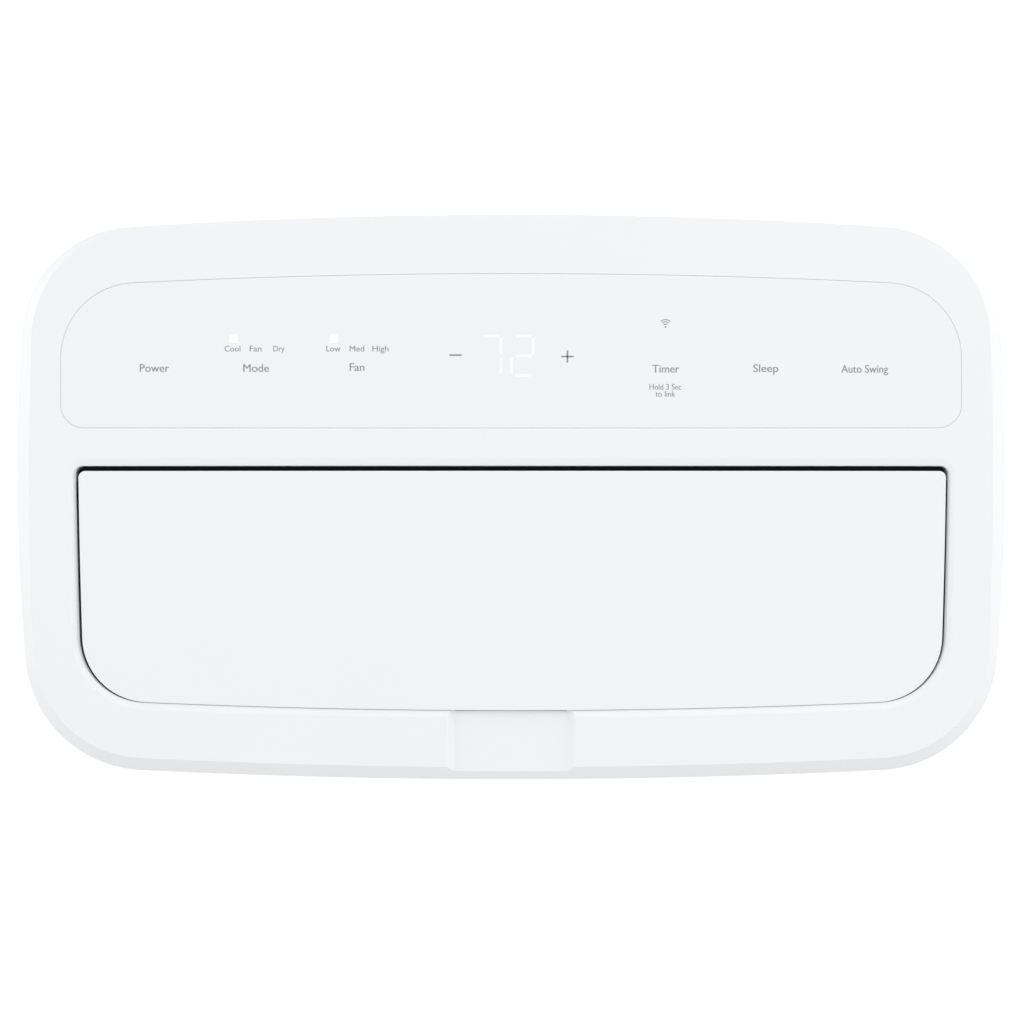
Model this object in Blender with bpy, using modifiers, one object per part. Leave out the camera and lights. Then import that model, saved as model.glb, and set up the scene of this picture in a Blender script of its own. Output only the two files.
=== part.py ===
"""A window air conditioner: a white front housing with a touch panel above a wide swing flap, and a steel cabinet.

The room side works like a small wall unit. Air comes in through the top grille and a slide-out filter, passes two
evaporator slabs, and a cross-flow blower sends it past eight linked vanes and out under the flap. The outdoor side
holds the compressor, the condenser and its fan. +Z is up, the room is towards -Y, and the origin is the centre of
the footprint, on the sill. All sizes are in metres.
"""

import math

import bmesh
import bpy
from mathutils import Matrix, Vector

# Overall size
WIDTH = 0.540
HEIGHT = 0.310
DEPTH = 0.500
FRONT_Y = -DEPTH / 2
BACK_Y = DEPTH / 2
GAP = 0.0003  # between pieces that rest on each other

# Front panel: the flat face stands on a rounded rim
WALL = 0.003
PANEL_BACK_Y = FRONT_Y + 0.045
BODY_OUTLINE = dict(
    half_width=WIDTH / 2, low=0.001, high=HEIGHT, low_corner=0.066, high_corner=0.062,
    side_radius=1.2, low_radius=4.1, high_radius=3.1, widest=0.168,
)
RIM_OUTLINE = dict(
    half_width=WIDTH / 2 - 0.0009, low=0.0019, high=HEIGHT - 0.0001, low_corner=0.0655, high_corner=0.062,
    side_radius=1.25, low_radius=4.1, high_radius=3.1, widest=0.168,
)
FACE_OUTLINE = dict(
    half_width=WIDTH / 2 - 0.0075, low=0.0082, high=HEIGHT - 0.0009, low_corner=0.061, high_corner=0.062,
    side_radius=2.1, low_radius=4.1, high_radius=3.1, widest=0.168,
)
RIM_Y = FRONT_Y + 0.009
BODY_Y = FRONT_Y + 0.012

# Touch panel
LENS_OUTLINE = dict(
    half_width=0.2451, low=0.1930, high=0.2769, low_corner=0.0125, high_corner=0.041,
    side_radius=3.0, low_radius=300.0, high_radius=4.2, widest=0.218,
)
LENS_THICKNESS = 0.0015
LENS_GAP = 0.0004
BOARD_Y = FRONT_Y + 0.010
DIGITS_X = (-0.017, 0.014)
DIGITS_Z = (0.2175, 0.2465)

# Swing flap and its mouth
FLAP_CURVES = dict(side_radius=4.7, low_radius=4.5, high_radius=300.0, widest=0.233)
FLAP_OUTLINE = dict(
    half_width=0.2366, low=0.0394, high=0.1696, low_corner=0.0360, high_corner=0.0036, **FLAP_CURVES
)
MOUTH_OUTLINE = dict(
    half_width=0.2376, low=0.0390, high=0.1722, low_corner=0.0364, high_corner=0.0042, **FLAP_CURVES
)
CHAMFER_OUTLINE = dict(
    half_width=0.2420, low=0.0351, high=0.1766, low_corner=0.0405, high_corner=0.0080, **FLAP_CURVES
)
CHAMFER_DEPTH = 0.0024
FLAP_THICKNESS = 0.003
HINGE_Y = FRONT_Y + 0.008
HINGE_Z = 0.158
HINGE_PIN_RADIUS = 0.0025
SLEEVE_BACK_Y = FRONT_Y + 0.016

# Finger recess under the flap
RECESS_HALF_WIDTH = 0.0350
RECESS_SLOPE = 0.0025
RECESS_DEPTH = 0.0022

# Duct and its vanes, behind the flap
DUCT_HALF_WIDTH = 0.205
DUCT_LOW = 0.040
DUCT_HIGH = 0.154
FRAME_WALL = 0.003
FRAME_FRONT_Y = FRONT_Y + 0.017
FRAME_BACK_Y = FRONT_Y + 0.043
VANE_COUNT = 8
VANE_PITCH = 0.052
VANE_Y = FRONT_Y + 0.030
VANE_CHORD = 0.022
VANE_LOW = 0.048
VANE_HIGH = 0.152
VANE_THICKNESS = 0.0016
VANE_PIN_RADIUS = 0.0015
LINK_ARM = 0.009
LINK_PIN_RADIUS = 0.0012
LINK_LOW = 0.043
LINK_HIGH = 0.045
DUCT_END_X = (DUCT_HALF_WIDTH + 0.0004, DUCT_HALF_WIDTH + 0.003)
INNER_HALF_WIDTH = DUCT_HALF_WIDTH - 0.0001

# Front housing, behind the front panel
HOUSING_FRONT_Y = PANEL_BACK_Y + GAP
HOUSING_BACK_Y = FRONT_Y + 0.132
FILTER_LOW = 0.276
FILTER_THICKNESS = 0.004
FILTER_LEFT_X = -0.205
FILTER_RIGHT_X = 0.254
FILTER_FRONT_Y = -0.200
FILTER_BACK_Y = -0.126
GLAND_X = 0.251
GLAND_Z = 0.060

# Cross-flow blower
BLOWER_Y = -0.160
BLOWER_Z = 0.112
BLOWER_RADIUS = 0.042
BLOWER_HALF_LENGTH = 0.199
BLADE_COUNT = 12
SHAFT_RADIUS = 0.004
BEARING_RADIUS = 0.012

# Steel cabinet
SHEET = 0.0012
CABINET_HALF_WIDTH = 0.2214  # to the middle of the sheet
CABINET_TOP = 0.284
CABINET_FRONT_Y = HOUSING_BACK_Y + GAP
CABINET_BACK_Y = BACK_Y - 0.006
PAN_HALF_WIDTH = 0.2203
PAN_LOW = 0.012
PAN_FLOOR = 0.0135
PAN_HIGH = 0.034
ON_PAN = PAN_FLOOR + GAP

# Outdoor section
BULKHEAD_Y = (-0.075, -0.060)
FAN_X = -0.065
FAN_Z = 0.142
FAN_RADIUS = 0.102
FAN_HUB_RADIUS = 0.028
FAN_FRONT_Y = 0.150
FAN_BACK_Y = 0.174
SHROUD_Y = 0.176
SHROUD_RADIUS = 0.106
COIL_FRONT_Y = 0.196
COIL_BACK_Y = 0.226
COMPRESSOR = Vector((0.145, 0.020, 0.0))
COMPRESSOR_RADIUS = 0.054
COMPRESSOR_TOP = 0.200
ACCUMULATOR = Vector((0.072, -0.018, 0.0))


# ---------------------------------------------------------------- scene, collections and materials


def start_scene():
    """Clears the scene and makes one collection for the parts and one for the cutters."""
    for old in list(bpy.data.objects):
        bpy.data.objects.remove(old, do_unlink=True)
    made = []
    for name in ("window_air_conditioner", "cutters"):
        collection = bpy.data.collections.new(name)
        bpy.context.scene.collection.children.link(collection)
        made.append(collection)
    return made


PARTS, CUTTERS = start_scene()


def finish(name, colour, roughness, metallic=0.0):
    """A Principled material."""
    made = bpy.data.materials.new(name)
    made.use_nodes = True
    shader = made.node_tree.nodes["Principled BSDF"]
    shader.inputs["Base Color"].default_value = (*colour, 1.0)
    shader.inputs["Roughness"].default_value = roughness
    shader.inputs["Metallic"].default_value = metallic
    return made


WHITE_PLASTIC = finish("white_plastic", (0.90, 0.91, 0.91), 0.38)
GLOSS_WHITE = finish("gloss_white_lens", (0.91, 0.92, 0.93), 0.16)
DARK_PLASTIC = finish("dark_plastic", (0.05, 0.05, 0.055), 0.5)
GREY_PLASTIC = finish("grey_plastic", (0.45, 0.47, 0.48), 0.5)
PAINTED_STEEL = finish("painted_steel", (0.78, 0.79, 0.79), 0.42, 0.1)
GALVANISED = finish("galvanised_steel", (0.62, 0.64, 0.65), 0.4, 0.9)
ALUMINIUM = finish("aluminium_fins", (0.76, 0.77, 0.78), 0.35, 1.0)
COPPER = finish("copper_tube", (0.72, 0.40, 0.26), 0.3, 1.0)
BLACK_STEEL = finish("black_enamel", (0.02, 0.02, 0.022), 0.3, 0.2)
BRIGHT_STEEL = finish("bright_steel", (0.70, 0.70, 0.71), 0.25, 1.0)
BLACK_RUBBER = finish("black_rubber", (0.03, 0.03, 0.03), 0.8)
GREEN_BOARD = finish("green_board", (0.04, 0.22, 0.10), 0.45)
FOAM = finish("white_foam", (0.86, 0.86, 0.84), 0.9)


# ---------------------------------------------------------------- shapes


def add(name, mesh, material, place=None, helper=False):
    """Puts a mesh in the scene as a part, or as a hidden cutter."""
    obj = bpy.data.objects.new(name, mesh)
    if place is not None:
        obj.matrix_world = place
    if material is not None:
        mesh.materials.append(material)
    (CUTTERS if helper else PARTS).objects.link(obj)
    obj.hide_render = helper
    if helper:
        obj.display_type = "WIRE"
    return obj


def mesh_of(name, shape, smooth=False):
    """The bmesh as a named mesh."""
    mesh = bpy.data.meshes.new(name)
    shape.to_mesh(mesh)
    shape.free()
    if smooth:
        mesh.shade_smooth()
        mesh.set_sharp_from_angle(angle=math.radians(40))
    return mesh


def block(name, low, high, material=None, helper=False, turn=None):
    """A box between two corners; turn rotates it about its own centre."""
    low = Vector(low)
    high = Vector(high)
    shape = bmesh.new()
    bmesh.ops.create_cube(shape, size=1.0)
    bmesh.ops.scale(shape, vec=high - low, verts=shape.verts)
    place = Matrix.Translation((low + high) / 2)
    if turn is not None:
        place = place @ turn
    return add(name, mesh_of(name, shape), material, place, helper)


def blocks(name, corners):
    """Many boxes as one cutter."""
    shape = bmesh.new()
    for low, high in corners:
        low = Vector(low)
        high = Vector(high)
        cube = bmesh.ops.create_cube(shape, size=1.0)["verts"]
        bmesh.ops.scale(shape, vec=high - low, verts=cube)
        bmesh.ops.translate(shape, vec=(low + high) / 2, verts=cube)
    return add(name, mesh_of(name, shape), None, helper=True)


def rod(name, radius, start, end, material=None, segments=20, helper=False):
    """A cylinder between two points."""
    start = Vector(start)
    end = Vector(end)
    shape = bmesh.new()
    bmesh.ops.create_cone(
        shape, cap_ends=True, segments=segments, radius1=radius, radius2=radius, depth=(end - start).length
    )
    turn = (end - start).to_track_quat("Z", "Y").to_matrix().to_4x4()
    place = Matrix.Translation((start + end) / 2) @ turn
    return add(name, mesh_of(name, shape, smooth=True), material, place, helper)


TURN_FOR_NORMAL = {
    "X": Matrix(((0, 0, 1), (1, 0, 0), (0, 1, 0))).to_4x4(),  # outline in (y, z)
    "Y": Matrix(((1, 0, 0), (0, 0, -1), (0, 1, 0))).to_4x4(),  # outline in (x, z)
    "Z": Matrix.Identity(4),  # outline in (x, y)
}


def plate(name, outlines, normal, low, high, material=None, helper=False):
    """A flat outline, with any further outlines as holes, filled and given thickness from low to high."""
    curve = bpy.data.curves.new(name, "CURVE")
    curve.dimensions = "2D"
    curve.fill_mode = "BOTH"
    curve.extrude = (high - low) / 2
    for outline in outlines:
        spline = curve.splines.new("POLY")
        spline.points.add(len(outline) - 1)
        for point, (across, up) in zip(spline.points, outline):
            point.co = (across, up, 0.0, 1.0)
        spline.use_cyclic_u = True
    guide = bpy.data.objects.new(name + "_curve", curve)
    bpy.context.scene.collection.objects.link(guide)
    graph = bpy.context.evaluated_depsgraph_get()
    mesh = bpy.data.meshes.new_from_object(guide.evaluated_get(graph))
    bpy.data.objects.remove(guide)
    shape = bmesh.new()
    shape.from_mesh(mesh)
    bmesh.ops.remove_doubles(shape, verts=shape.verts, dist=0.00001)
    bmesh.ops.recalc_face_normals(shape, faces=shape.faces)
    along = Vector({"X": (1, 0, 0), "Y": (0, 1, 0), "Z": (0, 0, 1)}[normal])
    place = Matrix.Translation(along * (low + high) / 2) @ TURN_FOR_NORMAL[normal]
    return add(name, mesh_of(name, shape), material, place, helper)


def loft(name, rings, material=None, helper=False, back_open=False):
    """Skins rings of points that have equal counts, from the room side to the back."""
    shape = bmesh.new()
    loops = [[shape.verts.new(point) for point in ring] for ring in rings]
    count = len(rings[0])
    for near, far in zip(loops, loops[1:]):
        for k in range(count):
            after = (k + 1) % count
            shape.faces.new((near[k], far[k], far[after], near[after]))
    shape.faces.new(loops[0])
    if not back_open:
        shape.faces.new(reversed(loops[-1]))
    return add(name, mesh_of(name, shape), material, helper=helper)


def folded_sheet(name, path, normal, low, high, thickness, material):
    """A thin sheet that follows a path and runs straight along the normal."""
    shape = bmesh.new()
    place = {"X": lambda a, b, c: (c, a, b), "Y": lambda a, b, c: (a, c, b)}[normal]
    rows = [[shape.verts.new(place(a, b, end)) for a, b in path] for end in (low, high)]
    for k in range(len(path) - 1):
        shape.faces.new((rows[0][k], rows[0][k + 1], rows[1][k + 1], rows[1][k]))
    obj = add(name, mesh_of(name, shape), material)
    solidify(obj, thickness, 0.0)
    return obj


def turned(name, profile, place, material, steps=24):
    """A profile of (radius, height), from the top down its outer side, turned about the local Z axis."""
    shape = bmesh.new()
    points = [shape.verts.new((radius, 0.0, height)) for radius, height in profile]
    for upper, lower in zip(points, points[1:]):
        shape.edges.new((upper, lower))
    obj = add(name, mesh_of(name, shape), material, place)
    screw = obj.modifiers.new("turn", "SCREW")
    screw.axis = "Z"
    screw.angle = math.tau
    screw.steps = steps
    screw.render_steps = steps
    screw.use_merge_vertices = True
    screw.merge_threshold = 0.00001
    screw.use_smooth_shade = True
    return obj


def pipe(name, points, radius, material, bend=0.014):
    """A round tube along a path whose corners are bent to an arc."""
    path = rounded_path(points, bend)
    curve = bpy.data.curves.new(name, "CURVE")
    curve.dimensions = "3D"
    curve.bevel_depth = radius
    curve.bevel_resolution = 2
    curve.use_fill_caps = True
    spline = curve.splines.new("POLY")
    spline.points.add(len(path) - 1)
    for point, co in zip(spline.points, path):
        point.co = (*co, 1.0)
    curve.materials.append(material)
    obj = bpy.data.objects.new(name, curve)
    PARTS.objects.link(obj)
    return obj


def solidify(obj, thickness, offset):
    """Gives an open surface a wall."""
    modifier = obj.modifiers.new("wall", "SOLIDIFY")
    modifier.thickness = thickness
    modifier.offset = offset
    modifier.use_even_offset = True


def boolean(obj, other, operation):
    modifier = obj.modifiers.new(operation.lower() + "_" + other.name, "BOOLEAN")
    modifier.operation = operation
    modifier.object = other


def cut(obj, *cutters):
    for cutter in cutters:
        boolean(obj, cutter, "DIFFERENCE")
    return obj


def join(obj, *helpers):
    for helper in helpers:
        boolean(obj, helper, "UNION")
    return obj


def baked(obj):
    """The object's shape with its modifiers applied, as one mesh in world space."""
    bpy.context.view_layer.update()
    graph = bpy.context.evaluated_depsgraph_get()
    mesh = bpy.data.meshes.new_from_object(obj.evaluated_get(graph))
    mesh.transform(obj.matrix_world)
    return mesh


# ---------------------------------------------------------------- outlines


def arc_points(centre, start, end, steps):
    """Points along the shorter arc about centre, from start up to end, with end left out."""
    first = math.atan2(start[1] - centre[1], start[0] - centre[0])
    last = math.atan2(end[1] - centre[1], end[0] - centre[0])
    turn = (last - first + math.pi) % math.tau - math.pi
    radius = math.dist(centre, start)
    angles = [first + turn * k / steps for k in range(steps)]
    return [(centre[0] + radius * math.cos(a), centre[1] + radius * math.sin(a)) for a in angles]


def touching_centre(one, one_radius, other, other_radius):
    """The rightmost point at one distance from one centre and another distance from the other."""
    apart = math.dist(one, other)
    along = (apart**2 + one_radius**2 - other_radius**2) / (2 * apart)
    aside = math.sqrt(one_radius**2 - along**2)
    ux = (other[0] - one[0]) / apart
    uz = (other[1] - one[1]) / apart
    foot = (one[0] + along * ux, one[1] + along * uz)
    return max((foot[0] - aside * uz, foot[1] + aside * ux), (foot[0] + aside * uz, foot[1] - aside * ux))


def beyond(centre, through, radius):
    """The point at radius from centre, on the ray through another point."""
    share = radius / math.dist(centre, through)
    return tuple(c + (t - c) * share for c, t in zip(centre, through))


def oblong(
    half_width, low, high, low_corner, high_corner, side_radius, low_radius, high_radius, widest, grow=0.0, steps=4
):
    """A rounded oblong in (x, z) whose four sides are shallow arcs, counter-clockwise from the bottom centre."""
    side = (half_width - side_radius, widest)
    top = (0.0, high - high_radius)
    bottom = (0.0, low + low_radius)
    low_fillet = touching_centre(side, side_radius - low_corner, bottom, low_radius - low_corner)
    high_fillet = touching_centre(side, side_radius - high_corner, top, high_radius - high_corner)
    bottom_start = (0.0, low - grow)
    low_start = beyond(bottom, low_fillet, low_radius + grow)
    side_start = beyond(side, low_fillet, side_radius + grow)
    high_start = beyond(side, high_fillet, side_radius + grow)
    top_start = beyond(top, high_fillet, high_radius + grow)
    top_end = (0.0, high + grow)
    right = arc_points(bottom, bottom_start, low_start, steps)
    right += arc_points(low_fillet, low_start, side_start, steps + 2)
    right += arc_points(side, side_start, high_start, steps)
    right += arc_points(high_fillet, high_start, top_start, steps + 2)
    right += arc_points(top, top_start, top_end, steps)
    right.append(top_end)
    return right + [(-x, z) for x, z in reversed(right[1:-1])]


def ring(outline, y):
    return [(x, y, z) for x, z in outline]


def circle(centre, radius, count):
    angles = [math.tau * k / count for k in range(count)]
    return [(centre[0] + radius * math.cos(a), centre[1] + radius * math.sin(a)) for a in angles]


def rectangle(low, high):
    return [(low[0], low[1]), (high[0], low[1]), (high[0], high[1]), (low[0], high[1])]


def rounded_path(points, radius, steps=4):
    """The points with each inner corner replaced by an arc of this radius."""
    corners = [Vector(p).to_3d() for p in points]
    path = [corners[0]]
    for before, corner, after in zip(corners, corners[1:], corners[2:]):
        back = (before - corner).normalized()
        on = (after - corner).normalized()
        half = back.angle(on) / 2
        centre = corner + (back + on).normalized() * radius / math.sin(half)
        start = corner + back * radius / math.tan(half) - centre
        end = corner + on * radius / math.tan(half) - centre
        path += [centre + start.slerp(end, k / steps).normalized() * radius for k in range(steps + 1)]
    path.append(corners[-1])
    return path


# ---------------------------------------------------------------- front panel, touch panel and flap


def make_front_panel():
    """The face: a shell with the touch panel's seat, the flap's mouth and a finger recess under it."""
    panel = loft("front_panel", [
        ring(oblong(**FACE_OUTLINE), FRONT_Y),
        ring(oblong(**RIM_OUTLINE), RIM_Y),
        ring(oblong(**BODY_OUTLINE), BODY_Y),
        ring(oblong(**BODY_OUTLINE), PANEL_BACK_Y),
    ], WHITE_PLASTIC, back_open=True)
    solidify(panel, WALL, -1.0)
    sleeve = plate(
        "sleeve", [oblong(**MOUTH_OUTLINE, grow=0.002), oblong(**MOUTH_OUTLINE, grow=-0.002)],
        "Y", FRONT_Y + 0.0015, SLEEVE_BACK_Y, helper=True,
    )
    join(panel, sleeve)
    share = 1 + 0.002 / CHAMFER_DEPTH
    wider = {key: MOUTH_OUTLINE[key] + (CHAMFER_OUTLINE[key] - MOUTH_OUTLINE[key]) * share for key in MOUTH_OUTLINE}
    mouth = loft("mouth_cut", [
        ring(oblong(**wider), FRONT_Y - 0.002),
        ring(oblong(**MOUTH_OUTLINE), FRONT_Y + CHAMFER_DEPTH),
        ring(oblong(**MOUTH_OUTLINE), SLEEVE_BACK_Y + 0.005),
    ], helper=True)
    seat = plate(
        "lens_seat_cut", [oblong(**LENS_OUTLINE, grow=LENS_GAP)],
        "Y", FRONT_Y - 0.002, FRONT_Y + LENS_THICKNESS + GAP, helper=True,
    )
    window = plate(
        "board_window_cut", [oblong(**LENS_OUTLINE, grow=-0.0055)], "Y", FRONT_Y - 0.001, FRONT_Y + 0.006, helper=True
    )
    hinge_hole = rod(
        "hinge_hole_cut", HINGE_PIN_RADIUS + 0.0004, (-0.2442, HINGE_Y, HINGE_Z), (0.2442, HINGE_Y, HINGE_Z),
        segments=16, helper=True,
    )
    wide = RECESS_HALF_WIDTH + RECESS_SLOPE * (1 + 0.002 / RECESS_DEPTH)
    recess = loft("finger_recess_cut", [
        ring(rectangle((-wide, -0.01), (wide, 0.045)), FRONT_Y - 0.002),
        ring(rectangle((-RECESS_HALF_WIDTH, -0.01), (RECESS_HALF_WIDTH, 0.045)), FRONT_Y + RECESS_DEPTH),
    ], helper=True)
    cut(panel, mouth, seat, window, hinge_hole, recess)
    weld = panel.modifiers.new("weld", "WELD")
    weld.merge_threshold = 0.00001


def make_touch_panel():
    """The glossy cover set flush in the face, with its board and the two-digit display behind it."""
    plate("touch_lens", [oblong(**LENS_OUTLINE)], "Y", FRONT_Y, FRONT_Y + LENS_THICKNESS, GLOSS_WHITE)
    block("touch_board", (-0.228, BOARD_Y, 0.199), (0.228, BOARD_Y + 0.0016, 0.262), GREEN_BOARD)
    block(
        "digit_display", (DIGITS_X[0] - 0.004, FRONT_Y + 0.0018, DIGITS_Z[0]),
        (DIGITS_X[1] + 0.004, BOARD_Y - GAP, DIGITS_Z[1]), DARK_PLASTIC,
    )


def make_flap():
    """The swing flap: a flush plate with three ribs, on two ears whose pins turn in the sleeve."""
    flap = plate("swing_flap", [oblong(**FLAP_OUTLINE)], "Y", FRONT_Y, FRONT_Y + FLAP_THICKNESS, WHITE_PLASTIC)
    inside = FRONT_Y + FLAP_THICKNESS - 0.001
    ribs = [
        block(f"flap_rib_{k}", (-0.220, inside, z - 0.001), (0.220, FRONT_Y + 0.006, z + 0.001), helper=True)
        for k, z in enumerate((0.070, 0.100, 0.130))
    ]
    join(flap, *ribs)
    for name, ear_x, pin_x in (
        ("left", (-0.2355, -0.229), (-0.246, -0.232)),
        ("right", (0.229, 0.2355), (0.232, 0.251)),
    ):
        ear = block(
            f"flap_ear_{name}", (ear_x[0], inside, HINGE_Z - 0.006), (ear_x[1], HINGE_Y + 0.004, HINGE_Z + 0.006),
            helper=True,
        )
        pin = rod(
            f"flap_pin_{name}", HINGE_PIN_RADIUS, (pin_x[0], HINGE_Y, HINGE_Z), (pin_x[1], HINGE_Y, HINGE_Z),
            segments=12, helper=True,
        )
        join(flap, ear, pin)


def make_flap_motor():
    """The stepper motor that swings the flap, against the right end of the sleeve."""
    body_y = HINGE_Y + 0.008
    motor = rod("flap_motor", 0.012, (0.2445, body_y, HINGE_Z), (0.2600, body_y, HINGE_Z), GALVANISED, segments=24)
    bore = rod(
        "flap_motor_bore_cut", HINGE_PIN_RADIUS + 0.0004, (0.240, HINGE_Y, HINGE_Z), (0.2515, HINGE_Y, HINGE_Z),
        segments=12, helper=True,
    )
    cut(motor, bore)


# ---------------------------------------------------------------- vanes


def vane_places():
    middle = (VANE_COUNT - 1) / 2
    return [VANE_PITCH * (k - middle) for k in range(VANE_COUNT)]


def make_outlet_frame():
    """The duct's mouth: a flange against the back of the sleeve and four walls that hold the vanes' pivots."""
    frame = plate(
        "outlet_frame", [oblong(**MOUTH_OUTLINE, grow=0.0035)], "Y", FRAME_FRONT_Y, FRAME_FRONT_Y + 0.003, DARK_PLASTIC
    )
    walls = block(
        "frame_walls", (-DUCT_HALF_WIDTH - FRAME_WALL, FRAME_FRONT_Y + 0.001, DUCT_LOW - 0.004),
        (DUCT_HALF_WIDTH + FRAME_WALL, FRAME_BACK_Y, DUCT_HIGH + 0.004), helper=True,
    )
    join(frame, walls)
    opening = block(
        "frame_opening_cut", (-DUCT_HALF_WIDTH, FRAME_FRONT_Y - 0.01, DUCT_LOW),
        (DUCT_HALF_WIDTH, FRAME_BACK_Y + 0.01, DUCT_HIGH), helper=True,
    )
    cut(frame, opening)
    for k, x in enumerate(vane_places(), start=1):
        hole = rod(
            f"vane_hole_cut_{k}", VANE_PIN_RADIUS + 0.0004,
            (x, VANE_Y, DUCT_LOW - 0.0028), (x, VANE_Y, DUCT_HIGH + 0.0028), segments=8, helper=True,
        )
        cut(frame, hole)


def vane_mesh():
    """One vane about its own pivot: a thin blade, two pivot pins and a drive pin for the link bar."""
    blade = block(
        "vane_blade", (-VANE_THICKNESS / 2, -VANE_CHORD / 2, VANE_LOW), (VANE_THICKNESS / 2, VANE_CHORD / 2, VANE_HIGH),
        helper=True,
    )
    top_pin = rod(
        "vane_top_pin", VANE_PIN_RADIUS, (0, 0, VANE_HIGH - 0.003), (0, 0, DUCT_HIGH + 0.0025), segments=8, helper=True
    )
    low_pin = rod(
        "vane_low_pin", VANE_PIN_RADIUS, (0, 0, DUCT_LOW - 0.0025), (0, 0, VANE_LOW + 0.003), segments=8, helper=True
    )
    drive_pin = rod(
        "vane_drive_pin", LINK_PIN_RADIUS, (0, LINK_ARM, LINK_LOW - 0.001), (0, LINK_ARM, VANE_LOW + 0.003),
        segments=8, helper=True,
    )
    mesh = baked(join(blade, top_pin, low_pin, drive_pin))
    mesh.materials.clear()
    mesh.materials.append(DARK_PLASTIC)
    return mesh


def make_vanes():
    mesh = vane_mesh()
    for k, x in enumerate(vane_places(), start=1):
        add(f"vane_{k}", mesh, None, Matrix.Translation((x, VANE_Y, 0.0)))


def make_link_bar():
    """The bar that moves the vanes together. Its slots leave the drive pins room for their arc."""
    bar = block(
        "vane_link_bar", (-0.190, VANE_Y + 0.0032, LINK_LOW), (0.190, VANE_Y + 0.0127, LINK_HIGH), DARK_PLASTIC
    )
    slot_y = VANE_Y + LINK_ARM - 0.0008
    slots = [
        ((x - 0.0018, slot_y - 0.0025, LINK_LOW - 0.01), (x + 0.0018, slot_y + 0.0025, LINK_HIGH + 0.01))
        for x in vane_places()
    ]
    cut(bar, blocks("link_slots_cut", slots))


# ---------------------------------------------------------------- front housing and filter


def make_front_housing():
    """The collar between the front panel and the cabinet, with the intake grille in its top."""
    housing = plate("front_housing", [oblong(**BODY_OUTLINE)], "Y", HOUSING_FRONT_Y, HOUSING_BACK_Y, WHITE_PLASTIC)
    hollow = plate(
        "housing_hollow_cut", [oblong(**BODY_OUTLINE, grow=-WALL)], "Y",
        HOUSING_FRONT_Y - 0.01, HOUSING_BACK_Y - WALL, helper=True,
    )
    back = blocks("housing_back_cut", [((-0.217, HOUSING_BACK_Y - 0.01, 0.016), (0.217, HOUSING_BACK_Y + 0.01, 0.280))])
    grille = blocks("intake_slots_cut", [
        ((x - 0.005, HOUSING_FRONT_Y + 0.009, 0.290), (x + 0.005, HOUSING_BACK_Y - 0.010, 0.330))
        for x in (0.016 * k for k in range(-12, 13))
    ])
    filter_slot = blocks("filter_slot_cut", [
        ((0.235, FILTER_FRONT_Y - 0.003, FILTER_LOW - 0.0015), (0.290, FILTER_BACK_Y + 0.003, FILTER_LOW + 0.0059)),
    ])
    gland_hole = rod(
        "gland_hole_cut", 0.0065, (GLAND_X, HOUSING_BACK_Y - 0.010, GLAND_Z),
        (GLAND_X, HOUSING_BACK_Y + 0.010, GLAND_Z), segments=16, helper=True,
    )
    cut(housing, hollow, back, grille, filter_slot, gland_hole)


def make_filter():
    """The slide-out filter: a ribbed frame with a grip at its right end, on two rails."""
    columns = 8
    rows = 2
    border = 0.006
    grip = 0.024
    rib = 0.002
    span_x = (FILTER_RIGHT_X - grip - FILTER_LEFT_X - border - rib * (columns - 1)) / columns
    span_y = (FILTER_BACK_Y - FILTER_FRONT_Y - 2 * border - rib * (rows - 1)) / rows
    outlines = [rectangle((FILTER_LEFT_X, FILTER_FRONT_Y), (FILTER_RIGHT_X, FILTER_BACK_Y))]
    for column in range(columns):
        for row in range(rows):
            x = FILTER_LEFT_X + border + column * (span_x + rib)
            y = FILTER_FRONT_Y + border + row * (span_y + rib)
            outlines.append(rectangle((x, y), (x + span_x, y + span_y)))
    plate("air_filter", outlines, "Z", FILTER_LOW, FILTER_LOW + FILTER_THICKNESS, GREY_PLASTIC)
    for name, low_y, high_y in (
        ("filter_rail_front", HOUSING_FRONT_Y + 0.0007, FILTER_FRONT_Y + 0.003),
        ("filter_rail_rear", FILTER_BACK_Y - 0.003, HOUSING_BACK_Y - WALL - 0.001),
    ):
        block(name, (-0.200, low_y, FILTER_LOW - 0.005), (0.200, high_y, FILTER_LOW - 0.0004), WHITE_PLASTIC)


def make_cord_gland():
    """The rubber gland for the power cord, in the back of the housing."""
    back = HOUSING_BACK_Y

    def on_axis(y):
        return (GLAND_X, y, GLAND_Z)

    gland = rod("cord_gland", 0.0062, on_axis(back - WALL - 0.003), on_axis(back + 0.010), BLACK_RUBBER, segments=16)
    collar = rod("gland_collar", 0.0080, on_axis(back + GAP), on_axis(back + 0.003), segments=16, helper=True)
    bore = rod("gland_bore_cut", 0.0042, on_axis(back - 0.05), on_axis(back + 0.05), segments=16, helper=True)
    cut(join(gland, collar), bore)


# ---------------------------------------------------------------- indoor coil, blower and duct


def sloped_slab(name, low_centre, high_centre, thickness, half_width, material):
    """A slab whose side view runs from one (y, z) centre to the other."""
    low = Vector(low_centre)
    high = Vector(high_centre)
    run = high - low
    middle = (low + high) / 2
    angle = math.atan2(run.y, run.x) - math.pi / 2
    half = Vector((half_width, thickness / 2, run.length / 2))
    centre = Vector((0.0, middle.x, middle.y))
    return block(name, centre - half, centre + half, material, turn=Matrix.Rotation(angle, 4, "X"))


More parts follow.
